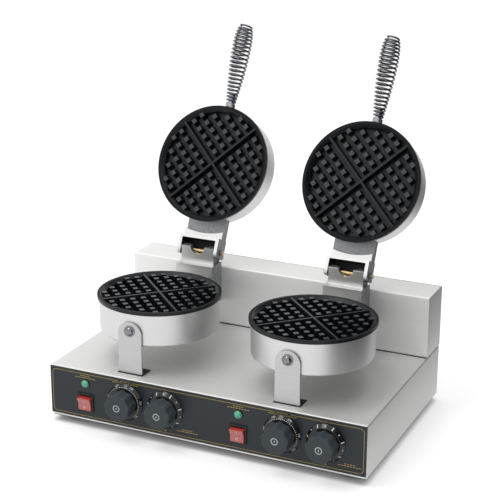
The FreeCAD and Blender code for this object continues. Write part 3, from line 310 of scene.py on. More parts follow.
@maker
def gold_ink():
    """Screen-printed gold ink: bronze flakes in varnish, dull and a little uneven."""
    return surface(("#97803F", "#B59A58"), 0.45, (0.42, 0.6), (grain, 0.4 * MM))


@maker
def white_ink():
    """Pad-printed white ink on plastic, flat and thin, so it shows the black a little."""
    return surface(("#CFCFCD", "#E6E6E4"), PLAIN, (0.5, 0.65), (grain, 0.5 * MM))


@maker
def phenolic_gloss():
    """Compression-moulded phenolic from a polished tool: deep black with a clear gloss."""
    return surface(("#111214", "#16171A"), PLAIN, (0.13, 0.2), (grain, 3.0 * MM))


@maker
def phenolic_matt():
    """Phenolic moulded in a spark-eroded tool: charcoal, dry, with a fine even texture."""
    # Spark texture of about 0.1 mm, drawn 0.5 mm across
    return surface(("#32383C", "#3E454A"), PLAIN, (0.48, 0.64), (grain, 0.5 * MM), 0.03 * MM,
                   specular=0.35)


@maker
def red_polycarbonate():
    """Clear red polycarbonate rocker: glossy, light goes a little way in."""
    clear = {"Subsurface Weight": 0.2, "Subsurface Radius": (2 * MM, 0.6 * MM, 0.5 * MM),
             "Coat Weight": 1.0, "Coat Roughness": 0.1}
    return surface(("#B2332B", "#C4423A"), PLAIN, (0.18, 0.3), (grain, 2.0 * MM),
                   specular=1.0, sockets=clear)


@maker
def black_nylon():
    """Injection-moulded nylon with a fine eroded texture, soft grey highlights."""
    return surface(("#17181A", "#1F2022"), PLAIN, (0.36, 0.5), (grain, 0.6 * MM), 0.015 * MM)


@maker
def green_lens():
    """Green polycarbonate lamp lens, unlit: milky and glossy."""
    milky = {"Subsurface Weight": 0.3, "Subsurface Radius": (0.5 * MM, 1.5 * MM, 1.0 * MM)}
    return surface(("#52A887", "#69C09F"), PLAIN, (0.1, 0.2), (grain, 1.5 * MM), sockets=milky)


@maker
def chromed_wire():
    """Spring wire with chrome plate: mirror-like, slightly blue, with faint drawing marks, in a dark grey
    that is painted shade standing in for dark surroundings it would mirror.
    """
    return surface(("#5E6166", "#737679"), METAL, (0.07, 0.14), (grain, 1.2 * MM))


@maker
def bright_zinc():
    """Bright zinc plate on steel fasteners: silvery, cloudy in patches."""
    return surface(("#989A9E", "#B4B6B9"), METAL, (0.2, 0.36), (grain, 2.0 * MM))


@maker
def polished_steel():
    """Domed bolt heads polished to a mirror, dark or bright with what lies around them."""
    return surface(("#7B7D81", "#8F9195"), METAL, (0.05, 0.11), (grain, 1.5 * MM))


@maker
def yellow_zinc():
    """Yellow-passivated zinc on the hinge pin: brassy with faint clouds, darkened as painted shade of the
    notch it sits in.
    """
    return surface(("#644D25", "#8A6E3C"), METAL, (0.22, 0.36), (grain, 2.5 * MM))


@maker
def nitrile_rubber():
    """Moulded nitrile rubber: black, dull, dusty grey on top of the texture."""
    return surface(("#171717", "#232322"), PLAIN, (0.68, 0.85), (grain, 1.0 * MM), 0.03 * MM)


@maker
def heater_sheath():
    """Nickel alloy heater tube after use: brown-grey oxide, straw in patches."""
    return surface(("#3C3833", "#665948"), 0.9, (0.42, 0.6), (grain, 6.0 * MM), 0.02 * MM)


@maker
def plated_case():
    """Zinc-plated case of a thermostat or timer: pale grey, satin."""
    return surface(("#A8A9A7", "#BFC0BE"), 0.9, (0.34, 0.48), (grain, 3.0 * MM))


# Roughness of the stage's paper and card, strength of the paper's glow, and how it fades near the part into
# a painted contact shadow
PAPER_ROUGHNESS = 0.9
PAPER_GLOW = 0.43
CONTACT_REACH = 11.5 * MM
CONTACT_FADE = 3


@maker
def white_paper():
    """Paper sweep, pale grey where the part shades it, with a glow that turns it white elsewhere."""
    material, tree, shader = new_material("#D2D2D2", PLAIN, PAPER_ROUGHNESS, {"Emission Color": WHITE})
    # The glow fades close under the part with ambient occlusion, which paints a dark contact shadow there
    clear = add_node(tree, "ShaderNodeAmbientOcclusion", None, {"Distance": CONTACT_REACH})
    fade = add_node(tree, "ShaderNodeMath", {0: clear.outputs["AO"]}, {1: CONTACT_FADE}, operation="POWER")
    level = add_node(tree, "ShaderNodeMath", {0: fade.outputs[0]}, {1: PAPER_GLOW}, operation="MULTIPLY")
    glow = add_node(tree, "ShaderNodeMath", {0: level.outputs[0], 1: seen_ray(tree)}, operation="MULTIPLY")
    tree.links.new(glow.outputs[0], shader.inputs["Emission Strength"])
    return material


@maker
def grey_card():
    """Matt card, dark enough to show in what metal mirrors."""
    return new_material("#5A5A5A", PLAIN, PAPER_ROUGHNESS)[0]


# Pieces

def shade(bm):
    """Smooth faces with sharp edges where the shape turns a corner."""
    for face in bm.faces:
        face.smooth = True
    for edge in bm.edges:
        edge.smooth = edge.calc_face_angle(0) < SHARP_ANGLE


def add_object(name, data):
    """An object of the data, linked to the scene."""
    made = bpy.data.objects.new(name, data)
    bpy.context.scene.collection.objects.link(made)
    return made


def add_mesh(bm, name, materials):
    """Turns a bmesh to an object with the named materials."""
    mesh = bpy.data.meshes.new(name)
    bm.to_mesh(mesh)
    bm.free()
    for material in materials:
        mesh.materials.append(finish(material))
    return add_object(name, mesh)


def make_piece(bm, name, body, materials, replaced=()):
    """Turns a bmesh to a piece that rides on a body and stands for the replaced nodes."""
    piece = add_mesh(bm, name, materials)
    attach(piece, body)
    if replaced:
        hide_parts(*replaced)
    return piece


def body_of(node):
    return frame["nodes"][node]["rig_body"]


def merged_copy(node):
    """A node's triangles as one closed mesh of flat faces."""
    bm = bmesh.new()
    bm.from_mesh(frame["nodes"][node].data)
    bmesh.ops.remove_doubles(bm, verts=bm.verts, dist=MERGE_DISTANCE)
    bmesh.ops.dissolve_limit(bm, angle_limit=FLAT_ANGLE, verts=bm.verts, edges=bm.edges)
    return bm


def soften(piece, radius, segments=2, material=-1):
    """Rounds the sharp edges of a piece, in a material of their own where one is given."""
    bevel = piece.modifiers.new("soft_edges", "BEVEL")
    bevel.width = radius
    bevel.segments = segments
    bevel.limit_method = "ANGLE"
    bevel.angle_limit = SHARP_ANGLE
    bevel.harden_normals = True
    bevel.material = material


def dressed(node, materials, radius, choose=None, segments=2, edge_material=-1):
    """A copy of a node with soft edges; choose gives each face its material from its centre and normal."""
    bm = merged_copy(node)
    shade(bm)
    if choose:
        for face in bm.faces:
            face.material_index = choose(face.calc_center_median(), face.normal)
    piece = make_piece(bm, node + "_piece", body_of(node), materials, [node])
    soften(piece, radius, segments, edge_material)
    return piece


def solids(node):
    """Lowest and highest corner of each separate solid in a node."""
    bm = merged_copy(node)
    waiting = set(bm.verts)
    boxes = []
    while waiting:
        front = [waiting.pop()]
        group = list(front)
        while front:
            vert = front.pop()
            near = {edge.other_vert(vert) for edge in vert.link_edges}
            fresh = near & waiting
            waiting.difference_update(fresh)
            front += fresh
            group += fresh
        low = Vector([min(vert.co[k] for vert in group) for k in range(3)])
        high = Vector([max(vert.co[k] for vert in group) for k in range(3)])
        boxes.append((low, high))
    bm.free()
    return boxes


def middle(node):
    low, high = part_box(node)
    return (low + high) / 2


def hinge_turn(side):
    """Turn that swings a closed lid piece of one side back to where it rests, open."""
    joint = JOINTS[side + "_lid_hinge"]
    pin = Vector(joint["pos_m"])
    turn = Matrix.Rotation(-math.radians(joint["range_deg"][1]), 4, "X")
    return Matrix.Translation(pin) @ turn @ Matrix.Translation(-pin)


def fresh_verts(bm, before):
    """Points that were made since the set of points before was taken."""
    return [vert for vert in bm.verts if vert not in before]


def linked_faces(verts):
    """Faces at any of the points, each once."""
    return list(dict.fromkeys(face for vert in verts for face in vert.link_faces))


def of_kind(made, kind):
    """The points or edges among what an operator made."""
    return [item for item in made["geom"] if isinstance(item, kind)]


def add_curve(bm, curve):
    """Adds a curve or text to a bmesh as faces, deletes the curve and returns the new points."""
    holder = add_object(curve.name, curve)
    evaluated = holder.evaluated_get(bpy.context.evaluated_depsgraph_get())
    mesh = bpy.data.meshes.new_from_object(evaluated)
    before = set(bm.verts)
    bm.from_mesh(mesh)
    bpy.data.objects.remove(holder)
    bpy.data.curves.remove(curve)
    bpy.data.meshes.remove(mesh)
    return fresh_verts(bm, before)


def close_mesh(bm):
    """Merges the doubles of a new mesh and points its faces outwards."""
    bmesh.ops.remove_doubles(bm, verts=bm.verts, dist=MERGE_DISTANCE)
    bmesh.ops.recalc_face_normals(bm, faces=bm.faces)


# Flat marks, drawn about the origin in X and Y with their thickness along Z, then placed

DOT_SIDES = 20
RING_STEPS = 32
CORNER_STEPS = 8


def bar_mark(bm, width, height, thickness):
    made = bmesh.ops.create_cube(bm, size=1)
    bmesh.ops.scale(bm, vec=(width, height, thickness), verts=made["verts"])
    return made["verts"]


def dot_mark(bm, radius, thickness):
    made = bmesh.ops.create_cone(bm, cap_ends=True, segments=DOT_SIDES, radius1=radius, radius2=radius,
                                 depth=thickness)
    return made["verts"]


def ring_section(bm, outer, inner, thickness):
    """Corners of a flat ring's section, in X and Z."""
    half = thickness / 2
    corners = [(inner, -half), (outer, -half), (outer, half), (inner, half)]
    return [bm.verts.new((r, 0, z)) for r, z in corners]


def ring_mark(bm, outer, inner, thickness):
    """Flat ring, turned from its section."""
    before = set(bm.verts)
    section = ring_section(bm, outer, inner, thickness)
    edges = [bm.edges.new(ends) for ends in zip(section, section[1:] + section[:1])]
    bmesh.ops.spin(bm, geom=section + edges, axis=(0, 0, 1), cent=(0, 0, 0), angle=FULL_TURN,
                   steps=RING_STEPS, use_merge=True)
    return fresh_verts(bm, before)


def corner_mark(bm, outer, inner, thickness, quarter):
    """Quarter of a flat ring, for one corner of a border."""
    before = set(bm.verts)
    section = ring_section(bm, outer, inner, thickness)
    face = bm.faces.new(section)
    bmesh.ops.transform(bm, matrix=Matrix.Rotation(quarter * QUARTER_TURN, 4, "Z"), verts=section)
    bmesh.ops.spin(bm, geom=[face] + section + list(face.edges), axis=(0, 0, 1), cent=(0, 0, 0),
                   angle=QUARTER_TURN, steps=CORNER_STEPS)
    return fresh_verts(bm, before)


def text_mark(bm, text, height, thickness):
    """Plain figures."""
    curve = bpy.data.curves.new("figures", "FONT")
    curve.body = text
    curve.size = height
    curve.extrude = thickness / 2
    curve.align_x = "CENTER"
    curve.align_y = "CENTER"
    return add_curve(bm, curve)


def put(verts, place):
    """Moves marks to where place takes each of their points."""
    for vert in verts:
        vert.co = place(vert.co)


# Sizes that a user would change

def number(name, description, default, **kind):
    return bpy.props.FloatProperty(name=name, description=description, default=default, **kind)


def length(name, description, millimetres):
    return number(name, description, millimetres * MM, subtype="DISTANCE", unit="LENGTH", precision=5)


class EdgeSizes(bpy.types.PropertyGroup):
    sheet: length("Sheet edge", "Broken edge of sheet metal", 0.25)
    plate: length("Plate edge", "Rounding of the grid plates", 0.9)
    casting: length("Casting edge", "Rounding of the hinge castings", 1.1)
    moulding: length("Moulding edge", "Rounding of moulded plastic", 0.6)
    fastener: length("Fastener edge", "Rounding of bolts, nuts and screws", 0.35)
    rocker: length("Rocker edge", "Rounding of the rockers", 1.5)


class CoilSizes(bpy.types.PropertyGroup):
    turns: bpy.props.IntProperty(name="Turns", description="Turns of the spring grip", default=21)
    reach: length("Reach", "Length of the spring grip", 133.8)
    wire: length("Wire", "Radius of the wire", 1.6)
    base: length("Base radius", "Outer radius at the collar", 8.4)
    belly: length("Belly radius", "Outer radius at the widest turn", 16.2)
    tip: length("Tip radius", "Outer radius at the far end", 9)
    collar: length("Collar", "Length of the collar before the coil", 13)
    rise: length("Rise", "Height of the handle above the lid plate's face, with the lid closed", 28.6)
    belly_at: number("Belly at", "Share of the length at the widest turn", 0.73, subtype="FACTOR")
    tightening: number("Tightening", "How much closer the end turns lie", 0.14, subtype="FACTOR")


class DialSizes(bpy.types.PropertyGroup):
    skirt_depth: length("Skirt depth", "Depth of the bevelled skirt", 6)
    skirt_face: length("Skirt face radius", "Radius of the skirt at its front", 24.6)
    ink: length("Ink", "Thickness of the printed marks", 0.12)
    figures: length("Figures", "Height of the printed figures", 4.4)
    symbol: length("Symbol radius", "Radius of the ring on the grip's face", 5.3)


class PrintSizes(bpy.types.PropertyGroup):
    inset: length("Inset", "Distance of the border line from the panel's edge", 4)
    line: length("Line", "Width of the border line", 0.8)
    corner: length("Corner", "Corner radius of the border line", 6)
    ink: length("Ink", "Thickness of the print", 0.1)
    gap: length("Gap", "Opening in the border line at a legend", 24)


class StageSizes(bpy.types.PropertyGroup):
    eye: bpy.props.FloatVectorProperty(name="Eye", description="Place of the camera", unit="LENGTH",
                                       default=(0.823, -1.8288, 0.9157), subtype="TRANSLATION")
    azimuth: number("Azimuth", "Turn of the camera round the part", 0.4302, subtype="ANGLE")
    elevation: number("Elevation", "Look of the camera below the horizon", 0.3209, subtype="ANGLE")
    roll: number("Roll", "Tilt of the camera", 0.0042, subtype="ANGLE")
    lens: number("Lens", "Focal length in millimetres", 99.55)
    key_power: number("Key light", "Power of the soft main light", 18, subtype="POWER", unit="POWER")
    fill_power: number("Fill light", "Power of the soft fill light", 1.8, subtype="POWER", unit="POWER")
    ambient: number("Ambient", "Light from all round", 0.94)


# Sheet metal

# Faces that look down, this near the cabinet's bottom, take the dark painted shade of its floor
UNDERSIDE = 1.0 * MM


class BAKER_OT_sheet_metal(bpy.types.Operator):
    """Satin steel cabinet, rear housing, round cases and front brackets"""
    bl_idname = "baker.sheet_metal"
    bl_label = "Sheet metal"

    def execute(self, context):
        edge = context.scene.baker_edges.sheet
        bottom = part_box("base_cover")[0].z

        def is_under(centre, normal):
            return int(normal.z < -STRAIGHT and centre.z < bottom + UNDERSIDE)

        dressed("base_cover", ["satin_stainless", "underside_painted_shade"], edge, is_under)
        # The cabinet's floor is dark grey: painted shade for the gap under it
        dressed("base_floor", ["underside_painted_shade"], edge)
        # The rear housing and its cover take a paler copy of the stainless: painted light
        for node in ("rear_housing", "rear_cover"):
            dressed(node, ["housing_stainless"], edge)
        for side in SIDES:
            # Cases and brackets take greyer copies of the stainless: painted shade
            for kind in ("_lower_case", "_lid_case"):
                dressed(side + kind, ["drawn_stainless"], edge)
            dressed(side + "_front_bracket", ["strap_stainless"], edge)
        return {"FINISHED"}


# Grid plates

COATS = ["nonstick_coating", "nonstick_painted_highlight", "nonstick_rim_painted_shade", "nonstick_edge_painted_highlight"]
COATING, LIT_TOP, RIM, EDGE = range(len(COATS))
# Gap between the closed plates, how far the posts' tops lie below a plate's rim, and how deep a rim reaches
LID_GAP = 0.6 * MM
POST_DROP = 1.5 * MM
RIM_DEPTH = POST_DROP / 4


def plate_coat(depth, facing):
    """Picks the coat of a face that looks out of the plate: painted highlight on the posts' tops, painted
    shade on the rim.
    """
    if facing < STRAIGHT:
        return COATING
    if abs(depth - POST_DROP) < TOLERANCE:
        return LIT_TOP
    return RIM if depth < RIM_DEPTH else COATING


class BAKER_OT_grid_plates(bpy.types.Operator):
    """Non-stick grid plates of both heads"""
    bl_idname = "baker.grid_plates"
    bl_label = "Grid plates"

    def execute(self, context):
        edge = context.scene.baker_edges.plate
        for side in SIDES:
            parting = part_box(side + "_lower_plate")[1].z
            shut = hinge_turn(side).inverted()

            def on_lower(centre, normal):
                return plate_coat(parting - centre.z, normal.z)

            def on_lid(centre, normal):
                return plate_coat((shut @ centre).z - parting - LID_GAP, -(shut.to_3x3() @ normal).z)

            # The plates' rounded edges take a painted highlight
            dressed(side + "_lower_plate", COATS, edge, on_lower, edge_material=EDGE)
            dressed(side + "_lid_plate", COATS, edge, on_lid, edge_material=EDGE)
        return {"FINISHED"}


# Hinge castings

# Inside of the fork: from the pin towards the lid, to its open face, and how much narrower than the block
POCKET_REACH = 17.6 * MM
POCKET_DEPTH = 14.6 * MM
FORK_SHOULDER = 2.6 * MM
# Faces on the lid plate's side of this level, from the pin, are bright where they look mostly along -Y or
# -Z; the arm's other outer faces take painted shade
BRIDGE_LEVEL = 2.0 * MM
ARM_FINISHES = ["cast_aluminium", "hinge_pocket_painted_shade", "cast_painted_shade"]
BRIGHT, POCKET_SHADE, SHADED_CAST = range(len(ARM_FINISHES))


class BAKER_OT_castings(bpy.types.Operator):
    """Cast hinge bases and arms"""
    bl_idname = "baker.castings"
    bl_label = "Hinge castings"

    def execute(self, context):
        edge = context.scene.baker_edges.casting
        for side in SIDES:
            pin = Vector(JOINTS[side + "_lid_hinge"]["pos_m"])
            shut = hinge_turn(side).inverted()
            base_low, base_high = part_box(side + "_hinge_base")
            fork_half = (base_high.x - base_low.x) / 2 - FORK_SHOULDER

            def on_arm(centre, normal):
                spot = shut @ centre - pin
                facing = shut.to_3x3() @ normal
                # Faces inside the fork's pocket take painted shade
                if abs(spot.x) < fork_half and spot.y > -POCKET_REACH and spot.z > -POCKET_DEPTH:
                    return POCKET_SHADE
                # Outer faces that are not bright take painted shade
                is_bright = spot.z < -BRIDGE_LEVEL and min(facing.y, facing.z) < -MOSTLY
                return BRIGHT if is_bright else SHADED_CAST

            def on_base(centre, normal):
                # Sides of the hinge base that look along X take painted shade
                return int(abs(normal.x) > MOSTLY)

            dressed(side + "_hinge_arm", ARM_FINISHES, edge, on_arm)
            dressed(side + "_hinge_base", ["cast_aluminium", "cast_painted_shade"], edge, on_base)
        return {"FINISHED"}


# Fasteners

SCREW_HEAD = 3.8 * MM
SCREW_HEAD_HEIGHT = 2.2 * MM
SCREW_SHANK = 2.0 * MM
SCREW_LENGTH = 8.0 * MM
RECESS_ARM = 1.7 * MM
RECESS_DEPTH = 1.1 * MM
# Radius and depth of a screw's outline, from the flat on its head over the rounded edge to the shank's end
SCREW_OUTLINE = (
    (0.72 * SCREW_HEAD, 0),
    (0.93 * SCREW_HEAD, 0.25 * SCREW_HEAD_HEIGHT),
    (SCREW_HEAD, 0.6 * SCREW_HEAD_HEIGHT),
    (SCREW_HEAD, SCREW_HEAD_HEIGHT),
    (SCREW_SHANK, SCREW_HEAD_HEIGHT),
    (SCREW_SHANK, SCREW_HEAD_HEIGHT + SCREW_LENGTH),
)
# Cells along each side of a grid whose middle ones are cut out
THIRDS = 3


def pan_head(bm, seat):
    """Screw whose head's top is at the origin, looking along +Z, moved to its seat."""
    before = set(bm.verts)
    grid = bmesh.ops.create_grid(bm, x_segments=THIRDS, y_segments=THIRDS, size=RECESS_ARM)
    cross = [face for face in linked_faces(grid["verts"])
             if min(map(abs, face.calc_center_median().xy)) < TOLERANCE]
    sunk = bmesh.ops.extrude_face_region(bm, geom=cross)
    bmesh.ops.translate(bm, vec=(0, 0, -RECESS_DEPTH), verts=of_kind(sunk, bmesh.types.BMVert))
    bmesh.ops.delete(bm, geom=cross, context="FACES")
    rim = [edge for edge in bm.edges if edge.is_boundary and edge.verts[0] not in before]
    for radius, level in SCREW_OUTLINE:
        ring = bmesh.ops.extrude_edge_only(bm, edges=rim)
        rim = of_kind(ring, bmesh.types.BMEdge)
        for vert in of_kind(ring, bmesh.types.BMVert):
            spoke = vert.co.xy.normalized() * radius
            vert.co = (spoke.x, spoke.y, -level)
    bmesh.ops.holes_fill(bm, edges=rim)
    fresh = fresh_verts(bm, before)
    bmesh.ops.recalc_face_normals(bm, faces=linked_faces(fresh))
    bmesh.ops.transform(bm, matrix=seat, verts=fresh)


class BAKER_OT_fasteners(bpy.types.Operator):
    """Bolts, nuts, pins and screws"""
    bl_idname = "baker.fasteners"
    bl_label = "Fasteners"

    def execute(self, context):
        edge = context.scene.baker_edges.fastener
        dressed("bracket_bolts", ["polished_steel"], edge)
        dressed("hinge_base_screws", ["bright_zinc"], edge)
        for side in SIDES:
            for kind in ("_hinge_nuts", "_arm_screws", "_handle_stud"):
                dressed(side + kind, ["bright_zinc"], edge)
            dressed(side + "_hinge_pin", ["yellow_zinc"], edge)
        self.cover_screws()
        return {"FINISHED"}

    def cover_screws(self):
        """Pan heads with a cross recess, where the frame has its screws."""
        bm = bmesh.new()
        for low, high in solids("cover_screws"):
            centre = (low + high) / 2
            if high.z - low.z > high.y - low.y:
                seat = Matrix.Translation((centre.x, centre.y, low.z)) @ Matrix.Rotation(math.pi, 4, "X")
            else:
                turn = Matrix.Rotation(-QUARTER_TURN, 4, "X")
                seat = Matrix.Translation((centre.x, high.y, centre.z)) @ turn
            pan_head(bm, seat)
        shade(bm)
        make_piece(bm, "cover_screw_heads", "base", ["bright_zinc"],
                   ["cover_screws"])


# Spring handles

COIL_STEPS = 40
WIRE_SIDES = 4


def coil_radius(sizes, share):
    """Radius of the wire's centre line: a swelling cone, then a rounded tip."""
    base = sizes.base - sizes.wire
    belly = sizes.belly - sizes.wire
    tip = sizes.tip - sizes.wire
    if share < sizes.belly_at:
        return base + (belly - base) * math.sin(QUARTER_TURN * share / sizes.belly_at)
    late = (share - sizes.belly_at) / (1 - sizes.belly_at)
    return tip + (belly - tip) * math.sqrt(1 - late ** 2)


def coil_points(sizes):
    """Points of the wire from the collar outwards, with the end turns closer together."""
    count = sizes.turns * COIL_STEPS
    run = sizes.reach - 2 * sizes.wire
    points = []
    for k in range(count + 1):
        share = k / count
        along = share - sizes.tightening * math.sin(FULL_TURN * share) / FULL_TURN
        angle = FULL_TURN * k / COIL_STEPS
        radius = coil_radius(sizes, along)
        out = -sizes.wire - run * along
        points.append(Vector((-radius * math.cos(angle), out, radius * math.sin(angle))))
    return points


def wire_along(points, radius):
    """Round wire along points, with closed ends."""
    curve = bpy.data.curves.new("wire", "CURVE")
    curve.dimensions = "3D"
    curve.bevel_depth = radius
    curve.bevel_resolution = WIRE_SIDES
    curve.use_fill_caps = True
    spline = curve.splines.new("POLY")
    spline.points.add(len(points) - 1)
    for spot, point in zip(spline.points, points):
        spot.co = (*point, 1)
    bm = bmesh.new()
    add_curve(bm, curve)
    close_mesh(bm)
    shade(bm)
    return bm


class BAKER_OT_handles(bpy.types.Operator):
    """Spring grips of chromed wire"""
    bl_idname = "baker.handles"
    bl_label = "Spring handles"

    def execute(self, context):
        sizes = context.scene.baker_coil
        for side in SIDES:
            case_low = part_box(side + "_lower_case")[0]
            plate_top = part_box(side + "_lower_plate")[1].z
            centre = middle(side + "_lower_case")
            start = Vector((centre.x, case_low.y - sizes.collar, plate_top + sizes.rise))
            points = [hinge_turn(side) @ (start + offset) for offset in coil_points(sizes)]
            bm = wire_along(points, sizes.wire)
            make_piece(bm, side + "_spring_grip", side + "_lid", ["chromed_wire"],
                       [side + "_handle_coil"])
        return {"FINISHED"}


# Control panel

LEGEND_RISE = 12.5 * MM
LEGEND_ROW = 3.0 * MM
LEGEND_ASIDE = 6.5 * MM
LEGEND_LIFT = 3.5 * MM
DASH_LENGTH = 3.4 * MM
DASH_GAP = 1.0 * MM
DASH_HEIGHT = 1.1 * MM
DOT_RADIUS = 1.3 * MM
DOT_DROP = 3.5 * MM
# Dashes in each row of a legend
LAMP_DASHES = (4, 8)
THERMOSTAT_DASHES = (4, 10)
SWITCH_DASHES = (5,)
TIMER_DASHES = (4, 8)


def dash_rows(bm, sizes, counts, on_panel, x, z):
    """Rows of dashes, one below the other, centred on x."""
    for row, count in enumerate(counts):
        pitch = DASH_LENGTH + DASH_GAP
        for k in range(count):
            verts = bar_mark(bm, DASH_LENGTH, DASH_HEIGHT, sizes.ink)
            put(verts, on_panel(x + pitch * (k - (count - 1) / 2), z - LEGEND_ROW * row))


class BAKER_OT_control_panel(bpy.types.Operator):
    """Lacquered front panel with its printed border and legends"""
    bl_idname = "baker.control_panel"
    bl_label = "Control panel"

    def execute(self, context):
        dressed("control_panel", ["panel_lacquer"], context.scene.baker_edges.sheet)
        sizes = context.scene.baker_print
        low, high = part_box("control_panel")
        bm = bmesh.new()

        def on_panel(x, z):
            return lambda spot: Vector((x + spot.x, low.y - spot.z, z + spot.y))

        self.border(bm, sizes, low, high, on_panel)
        for side in SIDES:
            self.legends(bm, sizes, side, low, high, on_panel)
        close_mesh(bm)
        make_piece(bm, "panel_print", "base", ["gold_ink"])
        return {"FINISHED"}

    def border(self, bm, sizes, low, high, on_panel):
        """Line round the panel, with rounded corners, open above each thermostat and below each switch."""
        left = low.x + sizes.inset
        right = high.x - sizes.inset
        bottom = low.z + sizes.inset
        top = high.z - sizes.inset
        upright = top - bottom - 2 * sizes.corner
        for x in (left, right):
            put(bar_mark(bm, sizes.line, upright, sizes.ink), on_panel(x, (top + bottom) / 2))
        for z, node in ((top, "_thermostat_knob"), (bottom, "_switch_body")):
            stops = [left + sizes.corner]
            for side in SIDES:
                x = middle(side + node).x
                stops += [x - sizes.gap / 2, x + sizes.gap / 2]
            stops.append(right - sizes.corner)
            for start, stop in zip(stops[::2], stops[1::2]):
                run = stop - start
                put(bar_mark(bm, run, sizes.line, sizes.ink), on_panel(start + run / 2, z))
        outer = sizes.corner + sizes.line / 2
        inner = sizes.corner - sizes.line / 2
        for quarter, (x, z) in enumerate(((right, top), (left, top), (left, bottom), (right, bottom))):
            towards_x = sizes.corner if x == left else -sizes.corner
            towards_z = sizes.corner if z == bottom else -sizes.corner
            verts = corner_mark(bm, outer, inner, sizes.ink, quarter)
            put(verts, on_panel(x + towards_x, z + towards_z))

    def legends(self, bm, sizes, side, low, high, on_panel):
        """Plain dashes where the machine is lettered: a short row over a long one."""
        lamp = middle(side + "_pilot_lamp")
        switch = middle(side + "_switch_body")
        thermostat = middle(side + "_thermostat_knob")
        timer = middle(side + "_timer_knob")
        skirt_low, skirt_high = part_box(side + "_timer_knob")
        beside = skirt_high.x + LEGEND_ASIDE
        dash_rows(bm, sizes, LAMP_DASHES, on_panel, lamp.x, lamp.z + LEGEND_RISE)
        dash_rows(bm, sizes, THERMOSTAT_DASHES, on_panel, thermostat.x, high.z - sizes.inset)
        dash_rows(bm, sizes, SWITCH_DASHES, on_panel, switch.x, low.z + sizes.inset)
        dash_rows(bm, sizes, TIMER_DASHES, on_panel, beside, skirt_low.z + LEGEND_LIFT)
        for z in (high.z - sizes.inset, skirt_low.z - DOT_DROP):
            put(dot_mark(bm, DOT_RADIUS, sizes.ink), on_panel(timer.x, z))


# Dials

THERMOSTAT_SWEEP = math.radians(270)
THERMOSTAT_FIGURES = ("50", "100", "150", "200", "250", "300")
TICKS_PER_FIGURE = 8
TICK_RADIUS = 0.55 * MM
TICK_ASIDE = 3.0 * MM
FIGURE_ASIDE = 0.8 * MM
TIMER_SWEEP = math.radians(300)
TIMER_MARKS = 13
BAR_WIDTH = 1.6 * MM
BAR_LENGTH = 5.4 * MM
SPOT_RADIUS = 0.9 * MM
SYMBOL_LINE = 1.0 * MM
SYMBOL_STROKE = 3.8 * MM
KNOB_SEGMENTS = 3


def lower_face(piece, depth):
    """Sets the grip's flat face back by the print's thickness, so the print ends where the frame does."""
    front = min(vert.co.y for vert in piece.data.vertices)
    for vert in piece.data.vertices:
        vert.co.y = max(vert.co.y, front + depth)


def on_skirt(sizes, node, angle, outward=0.0):
    """Gives the place on a skirt's bevel, at an angle clockwise from the top and outward of mid-bevel."""
    low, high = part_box(node)
    centre = (low + high) / 2
    back_radius = (high.x - low.x) / 2
    spread = back_radius - sizes.skirt_face
    slant = math.hypot(spread, sizes.skirt_depth)
    slope = spread / slant
    fall = sizes.skirt_depth / slant

    def place(spot):
        along = spot.y + outward
        radius = (back_radius + sizes.skirt_face) / 2 + along * slope + spot.z * fall
        y = high.y - sizes.skirt_depth / 2 + along * fall - spot.z * slope
        turn = angle + spot.x / radius
        return Vector((centre.x + radius * math.sin(turn), y, centre.z + radius * math.cos(turn)))

    return place


def sweep_angles(sweep, count):
    """Even angles from one end of a sweep to the other, about the top."""
    return [sweep * (k / (count - 1) - 0.5) for k in range(count)]


def thermostat_marks(bm, sizes, node):
    """Figures round the bevel and fine dots along its inner edge."""
    count = len(THERMOSTAT_FIGURES)
    for figures, angle in zip(THERMOSTAT_FIGURES, sweep_angles(THERMOSTAT_SWEEP, count)):
        put(text_mark(bm, figures, sizes.figures, sizes.ink), on_skirt(sizes, node, angle, FIGURE_ASIDE))
    for angle in sweep_angles(THERMOSTAT_SWEEP, (count - 1) * TICKS_PER_FIGURE + 1):
        put(dot_mark(bm, TICK_RADIUS, sizes.ink), on_skirt(sizes, node, angle, -TICK_ASIDE))


def timer_marks(bm, sizes, node):
    """Bold bars with a dot between each two, and a dot at either end."""
    for k, angle in enumerate(sweep_angles(TIMER_SWEEP, TIMER_MARKS)):
        if k % 2:
            verts = bar_mark(bm, BAR_WIDTH, BAR_LENGTH, sizes.ink)
        else:
            verts = dot_mark(bm, SPOT_RADIUS, sizes.ink)
        put(verts, on_skirt(sizes, node, angle))


def face_symbol(bm, sizes, node, kind):
    """Plain ring on the grip's flat face, round a dot on a thermostat and a stroke on a timer."""
    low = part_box(node)[0]
    centre = middle(node)

    def on_face(spot):
        return Vector((centre.x + spot.x, low.y - spot.z + sizes.ink / 2, centre.z + spot.y))

    put(ring_mark(bm, sizes.symbol, sizes.symbol - SYMBOL_LINE, sizes.ink), on_face)
    if kind == "thermostat":
        put(dot_mark(bm, SYMBOL_LINE, sizes.ink), on_face)
    else:
        put(bar_mark(bm, SYMBOL_LINE, SYMBOL_STROKE, sizes.ink), on_face)


